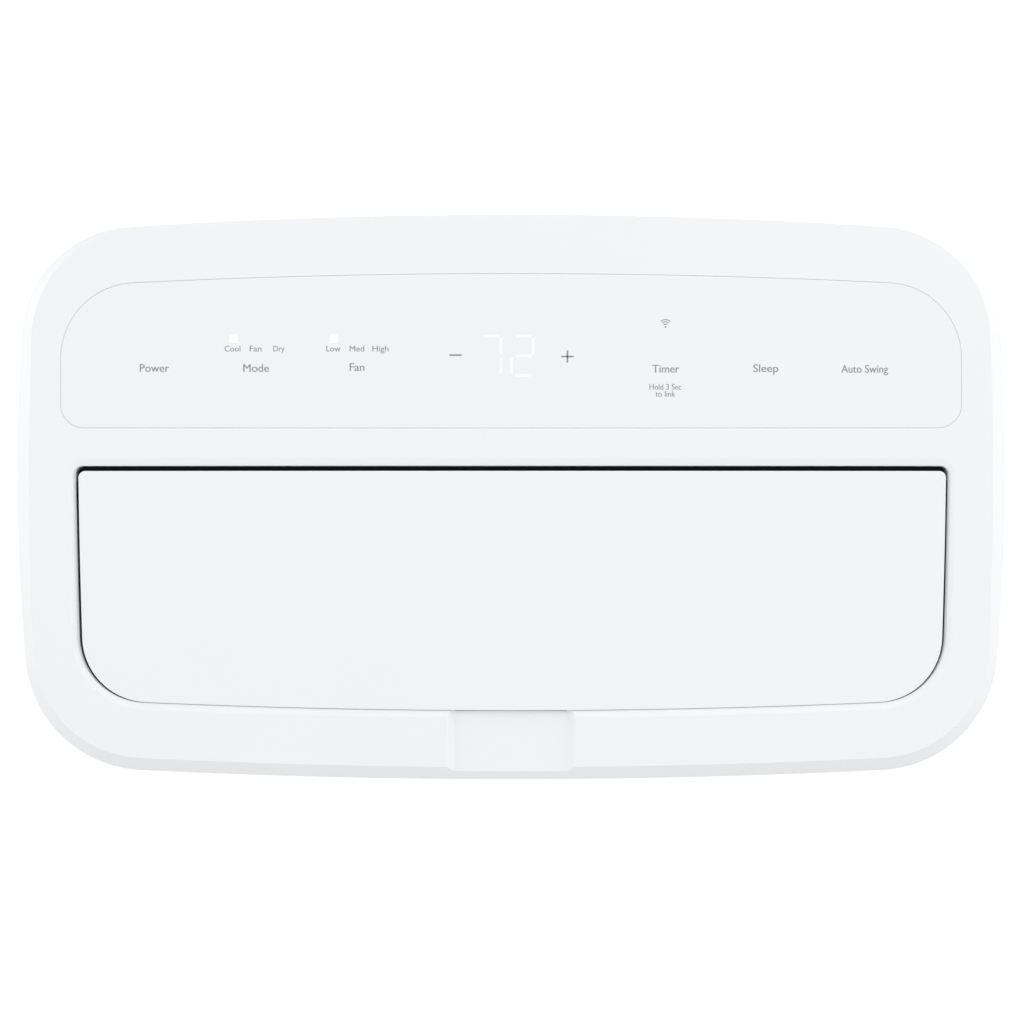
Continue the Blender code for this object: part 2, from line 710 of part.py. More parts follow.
def make_evaporator():
    """Two finned slabs in a roof shape over the blower, each with a drain channel under it."""
    sloped_slab("evaporator_front", (-0.2120, 0.1695), (-0.1769, 0.2578), 0.020, 0.203, ALUMINIUM)
    sloped_slab("evaporator_rear", (-0.0970, 0.1880), (-0.1540, 0.2540), 0.020, 0.203, ALUMINIUM)
    front_channel = [
        (-0.2290, 0.1780), (-0.2290, 0.1605), (-0.2064, 0.1605), (-0.1940, 0.1500), (-0.1920, 0.1520),
        (-0.1970, 0.1630), (-0.1970, 0.1710), (-0.1990, 0.1710), (-0.1995, 0.1630), (-0.2265, 0.1630),
        (-0.2265, 0.1780),
    ]
    plate("drain_channel_front", [front_channel], "X", -INNER_HALF_WIDTH, INNER_HALF_WIDTH, GREY_PLASTIC)
    rear_channel = [
        (-0.1140, 0.1840), (-0.1140, 0.1700), (-0.0820, 0.1700), (-0.0820, 0.1900), (-0.0840, 0.1900),
        (-0.0840, 0.1725), (-0.1120, 0.1725), (-0.1120, 0.1840),
    ]
    plate("drain_channel_rear", [rear_channel], "X", -INNER_HALF_WIDTH, INNER_HALF_WIDTH, GREY_PLASTIC)


def make_scroll():
    """The curved guide behind and under the blower, from the rear channel to the lower lip of the frame."""
    steps = 14
    path = [(-0.1120, 0.1685)]
    for k in range(steps + 1):
        share = k / steps
        angle = math.radians(42 - 152 * share)
        radius = 0.046 + 0.014 * share
        path.append((BLOWER_Y + radius * math.cos(angle), BLOWER_Z + radius * math.sin(angle)))
    path.append((FRAME_BACK_Y + 0.0004, 0.0412))
    folded_sheet("blower_scroll", path, "X", -INNER_HALF_WIDTH, INNER_HALF_WIDTH, 0.002, GREY_PLASTIC)


def make_duct_ends():
    """The plates that close the duct at both ends and carry the blower and the coils."""
    back = FRAME_BACK_Y + 0.0005
    outline = [
        (back, 0.0360), (-0.1500, 0.0360), (-0.1000, 0.0560), (-0.0805, 0.1100), (-0.0805, 0.1950), (-0.1440, 0.2680),
        (-0.1900, 0.2680), (-0.2295, 0.1800), (-0.2295, 0.1588), (back, 0.1588),
    ]
    hole = circle((BLOWER_Y, BLOWER_Z), BEARING_RADIUS + GAP, 20)
    low, high = DUCT_END_X
    plate("duct_end_left", [outline, hole], "X", -high, -low, GREY_PLASTIC)
    plate("duct_end_right", [outline, hole], "X", low, high, GREY_PLASTIC)


def make_blower():
    """The cross-flow wheel, with a moulded stub at the left and the motor's shaft at the right."""
    centre = (BLOWER_Y, BLOWER_Z)
    end_x = BLOWER_HALF_LENGTH
    wheel = plate(
        "blower_wheel", [circle(centre, BLOWER_RADIUS, 20), circle(centre, SHAFT_RADIUS + GAP, 12)],
        "X", end_x - 0.003, end_x, DARK_PLASTIC,
    )
    blind_end = rod("wheel_end", BLOWER_RADIUS, (-end_x, *centre), (-end_x + 0.003, *centre), helper=True)
    stub = rod("wheel_stub", SHAFT_RADIUS, (-0.216, *centre), (-end_x + 0.001, *centre), segments=14, helper=True)
    rings = [
        plate(
            f"wheel_ring_{k}", [circle(centre, BLOWER_RADIUS, 20), circle(centre, 0.0305, 20)],
            "X", x - 0.001, x + 0.001, helper=True,
        )
        for k, x in enumerate((-0.0665, 0.0665))
    ]
    blades = []
    for k in range(BLADE_COUNT):
        angle = math.tau * (k + 0.25) / BLADE_COUNT
        middle = Vector((0.0, BLOWER_Y + 0.0362 * math.cos(angle), BLOWER_Z + 0.0362 * math.sin(angle)))
        half = Vector((end_x - 0.0015, 0.0040, 0.0007))
        turn = Matrix.Rotation(angle + math.radians(28), 4, "X")
        blades.append(block(f"wheel_blade_{k}", middle - half, middle + half, helper=True, turn=turn))
    join(wheel, blind_end, stub, *rings, *blades)
    rod("blower_motor_shaft", SHAFT_RADIUS, (0.194, *centre), (0.236, *centre), BRIGHT_STEEL, segments=14)
    bearing = rod("blower_bearing", BEARING_RADIUS, (-0.2120, *centre), (-0.2054, *centre), BLACK_RUBBER)
    bearing_bore = rod(
        "bearing_bore_cut", SHAFT_RADIUS + GAP, (-0.220, *centre), (-0.200, *centre), segments=14, helper=True
    )
    cut(bearing, bearing_bore)
    motor = rod("blower_motor", 0.033, (0.2086, *centre), (0.2420, *centre), GALVANISED, segments=28)
    motor_bore = rod(
        "motor_bore_cut", SHAFT_RADIUS + 0.0005, (0.200, *centre), (0.2370, *centre), segments=14, helper=True
    )
    cut(motor, motor_bore)


# ---------------------------------------------------------------- cabinet


def make_base_pan():
    """The bottom tray on two cross rails that stand on the sill."""
    front = CABINET_FRONT_Y + 0.0005
    back = CABINET_BACK_Y - 0.0005
    wall = 0.0015
    pan = block("base_pan", (-PAN_HALF_WIDTH, front, PAN_LOW), (PAN_HALF_WIDTH, back, PAN_HIGH), GALVANISED)
    rails = [
        block(f"pan_rail_{k}", (-0.180, y - 0.010, 0.0), (0.180, y + 0.010, PAN_LOW + 0.0005), helper=True)
        for k, y in enumerate((-0.085, 0.200))
    ]
    hollow = block(
        "pan_hollow_cut", (-PAN_HALF_WIDTH + wall, front + wall, PAN_FLOOR), (PAN_HALF_WIDTH - wall, back - wall, 0.05),
        helper=True,
    )
    cut(join(pan, *rails), hollow)


def make_cabinet_cover():
    """The painted steel cover: top and sides in one folded sheet, with louvres round the fan."""
    path = rounded_path([
        (-CABINET_HALF_WIDTH, PAN_LOW + 0.002), (-CABINET_HALF_WIDTH, CABINET_TOP), (CABINET_HALF_WIDTH, CABINET_TOP),
        (CABINET_HALF_WIDTH, PAN_LOW + 0.002),
    ], 0.008)
    cover = folded_sheet(
        "cabinet_cover", [(p.x, p.y) for p in path], "Y", CABINET_FRONT_Y, CABINET_BACK_Y, SHEET, PAINTED_STEEL
    )
    slots = []
    for low_x, high_x in ((-0.240, -0.210), (0.210, 0.240)):
        for y in (0.016, 0.096):
            for k in range(8):
                z = 0.080 + 0.020 * k
                slots.append(((low_x, y, z), (high_x, y + 0.068, z + 0.007)))
    for x in (-0.170, 0.080):
        for k in range(5):
            y = 0.066 + 0.018 * k
            slots.append(((x, y, 0.270), (x + 0.090, y + 0.007, 0.300)))
    cut(cover, blocks("cover_louvres_cut", slots))


def make_rear_grille():
    """The guard over the condenser, held by four screws."""
    columns = 6
    rows = 4
    bar = 0.004
    low = (-0.220, 0.0130)
    high = (0.220, 0.2840)
    border = 0.013
    span_x = (high[0] - low[0] - 2 * border - bar * (columns - 1)) / columns
    span_z = (high[1] - low[1] - 2 * border - bar * (rows - 1)) / rows
    outlines = [rectangle(low, high)]
    for column in range(columns):
        for row in range(rows):
            x = low[0] + border + column * (span_x + bar)
            z = low[1] + border + row * (span_z + bar)
            outlines.append(rectangle((x, z), (x + span_x, z + span_z)))
    plate("rear_grille", outlines, "Y", CABINET_BACK_Y + GAP, BACK_Y - 0.002, PAINTED_STEEL)
    number = 0
    for x in (low[0] + 0.0065, high[0] - 0.0065):
        for z in (low[1] + 0.0065, high[1] - 0.0065):
            number += 1
            head = BACK_Y - 0.002 + GAP
            rod(f"grille_screw_{number}", 0.0042, (x, head, z), (x, BACK_Y, z), BRIGHT_STEEL, segments=12)


def make_top_rail():
    """The angle on the cabinet's top that the window sash closes against."""
    base = CABINET_TOP + SHEET / 2 + GAP
    profile = [
        (-0.0820, base), (-0.0560, base), (-0.0560, base + 0.0015), (-0.0805, base + 0.0015),
        (-0.0805, base + 0.0150), (-0.0820, base + 0.0150),
    ]
    plate("top_rail", [profile], "X", -0.180, 0.180, GALVANISED)


def make_bulkhead():
    """The foam partition between the room side and the outdoor side, with an opening for the tubes."""
    outline = rectangle((-0.216, ON_PAN), (0.216, 0.2820))
    tubes = rectangle((0.172, 0.206), (0.203, 0.224))
    plate("bulkhead", [outline, tubes], "Y", *BULKHEAD_Y, FOAM)


# ---------------------------------------------------------------- outdoor section


def make_condenser():
    """The finned rear coil, and the shroud whose ring surrounds the fan."""
    block("condenser_coil", (-0.214, COIL_FRONT_Y, ON_PAN), (0.214, COIL_BACK_Y, 0.276), ALUMINIUM)
    centre = (FAN_X, FAN_Z)
    shroud = plate(
        "fan_shroud", [rectangle((-0.214, ON_PAN), (0.196, 0.278)), circle(centre, SHROUD_RADIUS, 32)],
        "Y", SHROUD_Y, SHROUD_Y + 0.002, GREY_PLASTIC,
    )
    ring_wall = plate(
        "shroud_ring", [circle(centre, SHROUD_RADIUS + 0.002, 32), circle(centre, SHROUD_RADIUS, 32)],
        "Y", FAN_FRONT_Y, SHROUD_Y + 0.001, helper=True,
    )
    join(shroud, ring_wall)


def fan_blade(name, turn):
    """One swept blade as a curved sheet with thickness."""
    steps = 3
    inner = FAN_HUB_RADIUS - 0.003
    outer = FAN_RADIUS - 0.002
    shape = bmesh.new()
    rows = []
    for i in range(steps + 1):
        out = i / steps
        radius = inner + (outer - inner) * out
        width = math.radians(50 - 8 * out)
        row = []
        for j in range(steps + 1):
            along = j / steps - 0.5
            angle = turn + width * along + math.radians(14) * out
            y = FAN_FRONT_Y + 0.013 + (0.017 - 0.004 * out) * along
            row.append(shape.verts.new((FAN_X + radius * math.cos(angle), y, FAN_Z + radius * math.sin(angle))))
        rows.append(row)
    for i in range(steps):
        for j in range(steps):
            shape.faces.new((rows[i][j], rows[i + 1][j], rows[i + 1][j + 1], rows[i][j + 1]))
    blade = add(name, mesh_of(name, shape), None, helper=True)
    solidify(blade, 0.0018, 0.0)
    return blade


def make_condenser_fan():
    """The axial fan with a slinger ring round its tips, on its motor and bracket."""
    centre = (FAN_X, FAN_Z)

    def on_axis(y):
        return (FAN_X, y, FAN_Z)

    fan = plate(
        "condenser_fan", [circle(centre, FAN_HUB_RADIUS, 24), circle(centre, SHAFT_RADIUS + GAP, 12)],
        "Y", FAN_FRONT_Y, FAN_BACK_Y, DARK_PLASTIC,
    )
    slinger = plate(
        "slinger_ring", [circle(centre, FAN_RADIUS, 36), circle(centre, FAN_RADIUS - 0.004, 36)],
        "Y", FAN_FRONT_Y + 0.008, FAN_FRONT_Y + 0.020, helper=True,
    )
    join(fan, slinger, *[fan_blade(f"fan_blade_{k}", math.tau * k / 5) for k in range(5)])
    rod("fan_shaft", SHAFT_RADIUS, on_axis(0.104), on_axis(0.176), BRIGHT_STEEL, segments=14)
    motor = rod("fan_motor", 0.046, on_axis(0.062), on_axis(0.130), BLACK_STEEL, segments=28)
    bore = rod("fan_motor_bore_cut", SHAFT_RADIUS + 0.0006, on_axis(0.102), on_axis(0.140), segments=14, helper=True)
    cut(motor, bore)
    bracket = plate("motor_bracket", [[
        (FAN_X - 0.050, ON_PAN + 0.001), (FAN_X + 0.050, ON_PAN + 0.001), (FAN_X + 0.050, 0.150),
        (FAN_X + 0.025, 0.195), (FAN_X - 0.025, 0.195), (FAN_X - 0.050, 0.150),
    ]], "Y", 0.0592, 0.0617, GALVANISED)
    foot = block(
        "bracket_foot", (FAN_X - 0.055, 0.020, ON_PAN), (FAN_X + 0.055, 0.0660, ON_PAN + 0.0025), helper=True
    )
    join(bracket, foot)


def rounded_triangle(corners, radius):
    """Three corners widened to arcs, counter-clockwise; the first corner points up."""
    outline = []
    for k, corner in enumerate(corners):
        middle = math.radians(90 + 120 * k)
        for step in range(5):
            angle = middle + math.radians(60) * (step / 2 - 1)
            outline.append((corner[0] + radius * math.cos(angle), corner[1] + radius * math.sin(angle)))
    return outline


def make_compressor():
    """The compressor on three rubber grommets, with its accumulator beside it."""
    radius = COMPRESSOR_RADIUS
    top = COMPRESSOR_TOP
    compressor = turned("compressor", [
        (0.0, top), (0.030, top), (0.044, top - 0.006), (0.052, top - 0.016), (radius, top - 0.028),
        (radius, 0.044), (0.050, 0.034), (0.040, 0.027), (0.026, 0.022), (0.0, 0.022),
    ], Matrix.Translation(COMPRESSOR), BLACK_STEEL)
    feet = [
        (COMPRESSOR.x + 0.058 * math.cos(angle), COMPRESSOR.y + 0.058 * math.sin(angle))
        for angle in (math.radians(90 + 120 * k) for k in range(3))
    ]
    join(compressor, plate("compressor_feet", [rounded_triangle(feet, 0.012)], "Z", 0.0225, 0.0255, helper=True))
    for number, (x, y) in enumerate(feet, start=1):
        rod(f"compressor_grommet_{number}", 0.009, (x, y, ON_PAN), (x, y, 0.0222), BLACK_RUBBER, segments=16)
    turned("accumulator", [
        (0.0, 0.165), (0.008, 0.165), (0.017, 0.158), (0.020, 0.148), (0.020, 0.077), (0.017, 0.067),
        (0.008, 0.060), (0.0, 0.060),
    ], Matrix.Translation(ACCUMULATOR), BLACK_STEEL, steps=20)


def make_tubes():
    """The copper lines between the compressor, the condenser and the evaporator."""
    pipe("discharge_tube", [
        (0.125, 0.038, COMPRESSOR_TOP + GAP), (0.125, 0.038, 0.216), (0.205, 0.038, 0.216), (0.205, 0.180, 0.216),
        (0.205, 0.180, 0.262), (0.205, COIL_FRONT_Y - GAP, 0.262),
    ], 0.003, COPPER, bend=0.008)
    top_x, top_y = ACCUMULATOR.x, ACCUMULATOR.y
    pipe("suction_tube", [
        (0.180, -0.103, 0.215), (0.180, -0.048, 0.215), (top_x, -0.048, 0.215), (top_x, top_y, 0.215),
        (top_x, top_y, 0.165 + GAP),
    ], 0.004, COPPER, bend=0.012)
    pipe("accumulator_tube", [
        (top_x, top_y, 0.060 - GAP), (top_x, top_y, 0.050), (0.0968, -0.0051, 0.050),
    ], 0.004, COPPER, bend=0.006)
    turned("filter_drier", [
        (0.0, 0.1957), (0.003, 0.1957), (0.003, 0.148), (0.008, 0.142), (0.008, 0.098), (0.003, 0.095), (0.0, 0.095),
    ], Matrix.Translation((0.206, 0.0, 0.044)) @ Matrix.Rotation(-math.pi / 2, 4, "X"), COPPER, steps=14)
    pipe("capillary_tube", [
        (0.206, 0.095 - GAP, 0.044), (0.206, -0.048, 0.044), (0.195, -0.048, 0.215), (0.195, -0.103, 0.215),
    ], 0.0015, COPPER, bend=0.008)


def make_control_box():
    """The steel box over the compressor with the main board and the run capacitor."""
    front = BULKHEAD_Y[1] + GAP
    wall = 0.0012
    box = block("control_box", (0.060, front, 0.2320), (0.214, 0.050, 0.2760), GALVANISED)
    inside = block(
        "control_box_cut", (0.060 + wall, front + wall, 0.2320 + wall), (0.214 - wall, 0.050 - wall, 0.290), helper=True
    )
    cut(box, inside)
    block("main_board", (0.066, -0.050, 0.2400), (0.150, 0.044, 0.2416), GREEN_BOARD)
    rod("run_capacitor", 0.020, (0.180, -0.040, 0.2536), (0.180, 0.030, 0.2536), GALVANISED, segments=20)


# ---------------------------------------------------------------- the whole unit

make_front_panel()
make_touch_panel()
make_flap()
make_flap_motor()
make_outlet_frame()
make_vanes()
make_link_bar()
make_front_housing()
make_filter()
make_cord_gland()
make_evaporator()
make_scroll()
make_duct_ends()
make_blower()
make_base_pan()
make_cabinet_cover()
make_rear_grille()
make_top_rail()
make_bulkhead()
make_condenser()
make_condenser_fan()
make_compressor()
make_tubes()
make_control_box()
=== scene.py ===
"""Visual model of the window air conditioner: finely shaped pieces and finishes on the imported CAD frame.

The front, the touch cover, the flap, the outlet with its vanes, the intake housing with its filter and cord gland,
the coils, the blower, the fan, the cabinet with its guard, and the compressor are shaped anew here. The plain inner
pieces keep their CAD shape and get a finish. All sizes are in metres. X is to the right, Y to the back and Z up.
"""

import math

import bmesh
import bpy
from mathutils import Matrix, Vector


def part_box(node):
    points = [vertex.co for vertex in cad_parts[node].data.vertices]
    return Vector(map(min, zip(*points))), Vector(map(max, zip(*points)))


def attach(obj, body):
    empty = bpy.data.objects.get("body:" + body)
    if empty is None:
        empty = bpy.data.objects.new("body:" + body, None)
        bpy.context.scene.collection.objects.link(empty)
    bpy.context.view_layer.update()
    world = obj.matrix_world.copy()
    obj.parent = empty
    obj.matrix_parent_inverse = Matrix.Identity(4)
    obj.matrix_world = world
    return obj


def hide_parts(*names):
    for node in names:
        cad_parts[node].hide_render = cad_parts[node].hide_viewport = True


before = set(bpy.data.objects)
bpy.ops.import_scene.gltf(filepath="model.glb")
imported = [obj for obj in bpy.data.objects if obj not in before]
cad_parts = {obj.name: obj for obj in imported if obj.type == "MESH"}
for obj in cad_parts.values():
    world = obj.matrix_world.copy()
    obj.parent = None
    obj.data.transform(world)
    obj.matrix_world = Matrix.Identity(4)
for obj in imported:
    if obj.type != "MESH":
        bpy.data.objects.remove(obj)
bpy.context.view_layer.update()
scene = bpy.context.scene

# ---------------------------------------------------------------- sizes of the front

FRONT_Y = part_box("front_panel")[0][1]
PANEL_BACK_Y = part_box("front_panel")[1][1]
SIDE_STEPS = 14
CORNER_STEPS = 18
RIM_DEPTH = 0.0115
# Of the rim's depth: where its straight bevel starts to turn, how deep the bevel would reach if it went on, the
# share of its width that is left at the turn, and the length of the turn.
RIM_TURN = 0.78
RIM_REACH = 0.90
RIM_TURN_SHARE = 0.1333
RIM_TURN_LENGTH = 0.24
WALL = 0.003
FACE_WALL = 0.0055
# Outlines in (x, z): the body, its flat face, the touch cover, and from outside in, the slope round the flap, the
# ledge, the mouth and the flap itself.
BODY = dict(
    half_width=0.270, low=0.001, high=0.310, low_corner=0.066, high_corner=0.062,
    side_radius=1.2, low_radius=4.1, high_radius=3.1, widest=0.168,
)
FACE = dict(
    half_width=0.2625, low=0.0082, high=0.3091, low_corner=0.061, high_corner=0.062,
    side_radius=2.1, low_radius=4.1, high_radius=3.1, widest=0.168,
)
LENS = dict(
    half_width=0.2451, low=0.1930, high=0.2769, low_corner=0.0125, high_corner=0.041,
    side_radius=3.0, low_radius=300.0, high_radius=4.2, widest=0.218,
)
SIDES = dict(side_radius=4.7, low_radius=4.5, high_radius=300.0, widest=0.233)
CHAMFER = dict(half_width=0.2420, low=0.0351, high=0.1766, low_corner=0.0405, high_corner=0.0080, middle=0.0002)
LEDGE = dict(half_width=0.2393, low=0.0390, high=0.1725, low_corner=0.0376, high_corner=0.0055, middle=0.0003)
MOUTH = dict(half_width=0.2379, low=0.0391, high=0.1722, low_corner=0.0364, high_corner=0.0042, middle=0.0004)
FLAP = dict(half_width=0.2366, low=0.0392, high=0.1696, low_corner=0.0360, high_corner=0.0036, middle=0.0006)
for outline in (CHAMFER, LEDGE, MOUTH, FLAP):
    outline.update(SIDES)
SLEEVE_BACK_Y = FRONT_Y + 0.016
SLEEVE_WALL = 0.0020
LENS_Y = FRONT_Y + 0.0001
PRINT_DEPTH = 0.00003
HINGE = Vector((0.0, FRONT_Y + 0.008, 0.158))
HINGE_HOLE_RADIUS = 0.0029
HINGE_HOLE_X = (0.236, 0.2446)
HINGE_PIN_RADIUS = 0.0025
PIN_START = 0.232
LEFT_PIN_END = 0.2460
RIGHT_PIN_END = 0.2510
EAR_RADIUS = 0.0045
EAR_X = (0.2292, 0.2358)
# The finger recess: half its width at the floor and at the face, its depth, how far it is cut, and the gap that it
# leaves in the lower edge of the mouth.
RECESS_FLOOR = 0.0305
RECESS_EDGE = 0.0356
RECESS_DEPTH = 0.0034
RECESS_LOW = -0.012
RECESS_HIGH = 0.048
RECESS_GAP_LOW = 0.0389
RECESS_GAP_HIGH = 0.045


# ---------------------------------------------------------------- outlines


def arc_points(centre, start, end, steps):
    """Points along the shorter arc about centre, from start up to end, with end left out."""
    first = math.atan2(start[1] - centre[1], start[0] - centre[0])
    last = math.atan2(end[1] - centre[1], end[0] - centre[0])
    turn = (last - first + math.pi) % math.tau - math.pi
    radius = math.dist(centre, start)
    angles = [first + turn * k / steps for k in range(steps)]
    return [(centre[0] + radius * math.cos(a), centre[1] + radius * math.sin(a)) for a in angles]


def touching_centre(one, one_radius, other, other_radius):
    """The rightmost point at one distance from one centre and another distance from the other."""
    apart = math.dist(one, other)
    along = (apart**2 + one_radius**2 - other_radius**2) / (2 * apart)
    aside = math.sqrt(one_radius**2 - along**2)
    ux = (other[0] - one[0]) / apart
    uz = (other[1] - one[1]) / apart
    foot = (one[0] + along * ux, one[1] + along * uz)
    return max((foot[0] - aside * uz, foot[1] + aside * ux), (foot[0] + aside * uz, foot[1] - aside * ux))


def beyond(centre, through, radius):
    """The point at radius from centre, on the ray through another point."""
    share = radius / math.dist(centre, through)
    return tuple(c + (t - c) * share for c, t in zip(centre, through))


def mirrored(points):
    """The same points on the other side of the middle, in reverse order."""
    return [(-x, z) for x, z in reversed(points)]


def oblong(
    half_width, low, high, low_corner, high_corner, side_radius, low_radius, high_radius, widest,
    middle=0.0, grow=0.0,
):
    """A rounded oblong in (x, z) whose four sides are shallow arcs, counter-clockwise from the bottom centre."""
    side = (half_width - side_radius, widest)
    top = (0.0, high - high_radius)
    bottom = (0.0, low + low_radius)
    low_fillet = touching_centre(side, side_radius - low_corner, bottom, low_radius - low_corner)
    high_fillet = touching_centre(side, side_radius - high_corner, top, high_radius - high_corner)
    bottom_start = (0.0, low - grow)
    low_start = beyond(bottom, low_fillet, low_radius + grow)
    side_start = beyond(side, low_fillet, side_radius + grow)
    high_start = beyond(side, high_fillet, side_radius + grow)
    top_start = beyond(top, high_fillet, high_radius + grow)
    top_end = (0.0, high + grow)
    right = arc_points(bottom, bottom_start, low_start, SIDE_STEPS)
    right += arc_points(low_fillet, low_start, side_start, CORNER_STEPS)
    right += arc_points(side, side_start, high_start, SIDE_STEPS)
    right += arc_points(high_fillet, high_start, top_start, CORNER_STEPS)
    right += arc_points(top, top_start, top_end, SIDE_STEPS)
    right.append(top_end)
    return [(middle + x, z) for x, z in right + mirrored(right[1:-1])]


def between(one, other, share):
    """The outline part of the way from one to the other."""
    return {key: one[key] + (other[key] - one[key]) * share for key in one}


def at_y(outline, y):
    return [(x, y, z) for x, z in outline]


def grown_rings(outline, steps, start_y=0.0):
    """An oblong as rings for a skin, grown and set back by each (grow, depth)."""
    return [at_y(oblong(**outline, grow=grow), start_y + depth) for grow, depth in steps]


def middle_of(node_name):
    """The middle of a CAD node's box."""
    return [(a + b) / 2 for a, b in zip(*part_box(node_name))]


def circle(centre, radius, count):
    angles = [math.tau * k / count for k in range(count)]
    return [(centre[0] + radius * math.cos(a), centre[1] + radius * math.sin(a)) for a in angles]


def rounded_rectangle(low, high, radius, steps=5):
    """Counter-clockwise from the lower right corner."""
    corners = [(high[0] - radius, low[1] + radius), (high[0] - radius, high[1] - radius),
               (low[0] + radius, high[1] - radius), (low[0] + radius, low[1] + radius)]
    points = []
    for k, (x, y) in enumerate(corners):
        for step in range(steps + 1):
            angle = math.radians(-90 + 90 * k + 90 * step / steps)
            points.append((x + radius * math.cos(angle), y + radius * math.sin(angle)))
    return points


# ---------------------------------------------------------------- meshes


def mesh_from(shape):
    """The bmesh as a plain mesh, with its faces outwards."""
    bmesh.ops.remove_doubles(shape, verts=shape.verts, dist=0.000004)
    bmesh.ops.recalc_face_normals(shape, faces=shape.faces)
    mesh = bpy.data.meshes.new("shape")
    shape.to_mesh(mesh)
    shape.free()
    return mesh


def skin(shape, rings, closed=True):
    """Quads between rings of equal counts. Returns the loops of vertices."""
    loops = [[shape.verts.new(point) for point in ring] for ring in rings]
    count = len(loops[0])
    for near, far in zip(loops, loops[1:]):
        for k in range(count if closed else count - 1):
            after = (k + 1) % count
            shape.faces.new((near[k], near[after], far[after], far[k]))
    return loops


def loop_edges(shape, loop):
    pairs = zip(loop, loop[1:] + loop[:1])
    return [shape.edges.get(pair) or shape.edges.new(pair) for pair in pairs]


def fill_flat(shape, *loops):
    """Triangles across a flat region between an outer loop and the holes in it."""
    edges = [edge for loop in loops for edge in loop_edges(shape, loop)]
    bmesh.ops.triangle_fill(shape, use_beauty=True, use_dissolve=False, edges=edges)


def prism(outline, normal, low, high, edge=0.0, holes=()):
    """A flat outline with thickness. Its rims are rounded by edge."""
    place = {"X": lambda a, b, c: (c, a, b), "Y": lambda a, b, c: (a, c, b), "Z": lambda a, b, c: (a, b, c)}[normal]
    shape = bmesh.new()
    ends = ([], [])
    for points in (outline, *holes):
        loops = skin(shape, [[place(a, b, level) for a, b in points] for level in (low, high)])
        ends[0].append(loops[0])
        ends[1].append(loops[1])
    for loops in ends:
        fill_flat(shape, *loops)
    if edge:
        rims = {e for loops in ends for loop in loops for e in loop_edges(shape, loop)}
        bmesh.ops.bevel(
            shape, geom=list(rims), offset=edge, segments=2, profile=0.5, affect="EDGES", clamp_overlap=True
        )
    return mesh_from(shape)


def capped(rings):
    """A solid between rings, closed flat at both ends."""
    shape = bmesh.new()
    loops = skin(shape, rings)
    fill_flat(shape, loops[0])
    fill_flat(shape, loops[-1])
    return mesh_from(shape)


def rod(normal, centre, radius, low, high, edge=0.0, sides=16):
    """A round bar along an axis, from low to high."""
    return prism(circle(centre, radius, sides), normal, low, high, edge)


def rounded_box(low, high, edge=0.0005, segments=2):
    """A box with all its edges rounded."""
    low = Vector(low)
    high = Vector(high)
    shape = bmesh.new()
    bmesh.ops.create_cube(shape, size=1.0)
    bmesh.ops.scale(shape, vec=high - low, verts=shape.verts)
    bmesh.ops.translate(shape, vec=(low + high) / 2, verts=shape.verts)
    bmesh.ops.bevel(shape, geom=shape.edges[:], offset=edge, segments=segments, profile=0.5, affect="EDGES")
    return mesh_from(shape)


def turn_to(axis):
    """The rotation that takes the Z axis to this direction."""
    return Vector(axis).to_track_quat("Z", "Y").to_matrix().to_4x4()


def lathe(profile, place, steps=40):
    """A closed profile of (radius, height) turned about the Z axis of its place."""
    shape = bmesh.new()
    rings = []
    for radius, height in profile:
        rings.append([
            place @ Vector((radius * math.cos(a), radius * math.sin(a), height))
            for a in (math.tau * k / steps for k in range(steps))
        ])
    skin(shape, rings)
    bmesh.ops.remove_doubles(shape, verts=shape.verts, dist=0.000004)
    return mesh_from(shape)


def lathe_ring(profile, place, steps=40):
    """A closed ring profile, joined end to start, turned about the Z axis of its place."""
    return lathe([*profile, profile[0]], place, steps)


def tube(points, radius, sides=10):
    """A round bar along a path, closed at its ends."""
    path = [Vector(p) for p in points]
    shape = bmesh.new()
    up = Vector((0.0, 0.0, 1.0))
    first = (path[1] - path[0]).normalized()
    if abs(first.dot(up)) > 0.9:
        up = Vector((1.0, 0.0, 0.0))
    across = first.cross(up).normalized()
    rings = []
    for k, point in enumerate(path):
        before = path[max(k - 1, 0)]
        after = path[min(k + 1, len(path) - 1)]
        along = (after - before).normalized()
        across = (across - along * across.dot(along)).normalized()
        other = along.cross(across)
        rings.append([
            point + across * radius * math.cos(a) + other * radius * math.sin(a)
            for a in (math.tau * j / sides for j in range(sides))
        ])
    loops = skin(shape, rings)
    shape.faces.new(loops[0])
    shape.faces.new(loops[-1])
    return mesh_from(shape)


def moved(mesh, matrix):
    """A copy of the mesh in another place."""
    copy = mesh.copy()
    copy.transform(matrix)
    if matrix.determinant() < 0:
        copy.flip_normals()
    return copy


def stand_in(mesh, name="work"):
    """A linked object that carries the mesh while modifiers work on it."""
    obj = bpy.data.objects.new(name, mesh)
    scene.collection.objects.link(obj)
    return obj


def applied(obj):
    """The object's mesh with its modifiers applied. The object is removed."""
    graph = bpy.context.evaluated_depsgraph_get()
    mesh = bpy.data.meshes.new_from_object(obj.evaluated_get(graph))
    bpy.data.objects.remove(obj)
    return mesh


def cut(mesh, *cutters):
    """The mesh less the cutters."""
    obj = stand_in(mesh)
    helpers = [stand_in(cutter, "cutter") for cutter in cutters]
    for helper in helpers:
        modifier = obj.modifiers.new("cut", "BOOLEAN")
        modifier.operation = "DIFFERENCE"
        modifier.solver = "EXACT"
        modifier.object = helper
    result = applied(obj)
    for helper in helpers:
        bpy.data.objects.remove(helper)
    return result


def gathered(*meshes):
    """Several meshes as one, without materials."""
    shape = bmesh.new()
    for mesh in meshes:
        shape.from_mesh(mesh)
    mesh = bpy.data.meshes.new("shape")
    shape.to_mesh(mesh)
    shape.free()
    return mesh


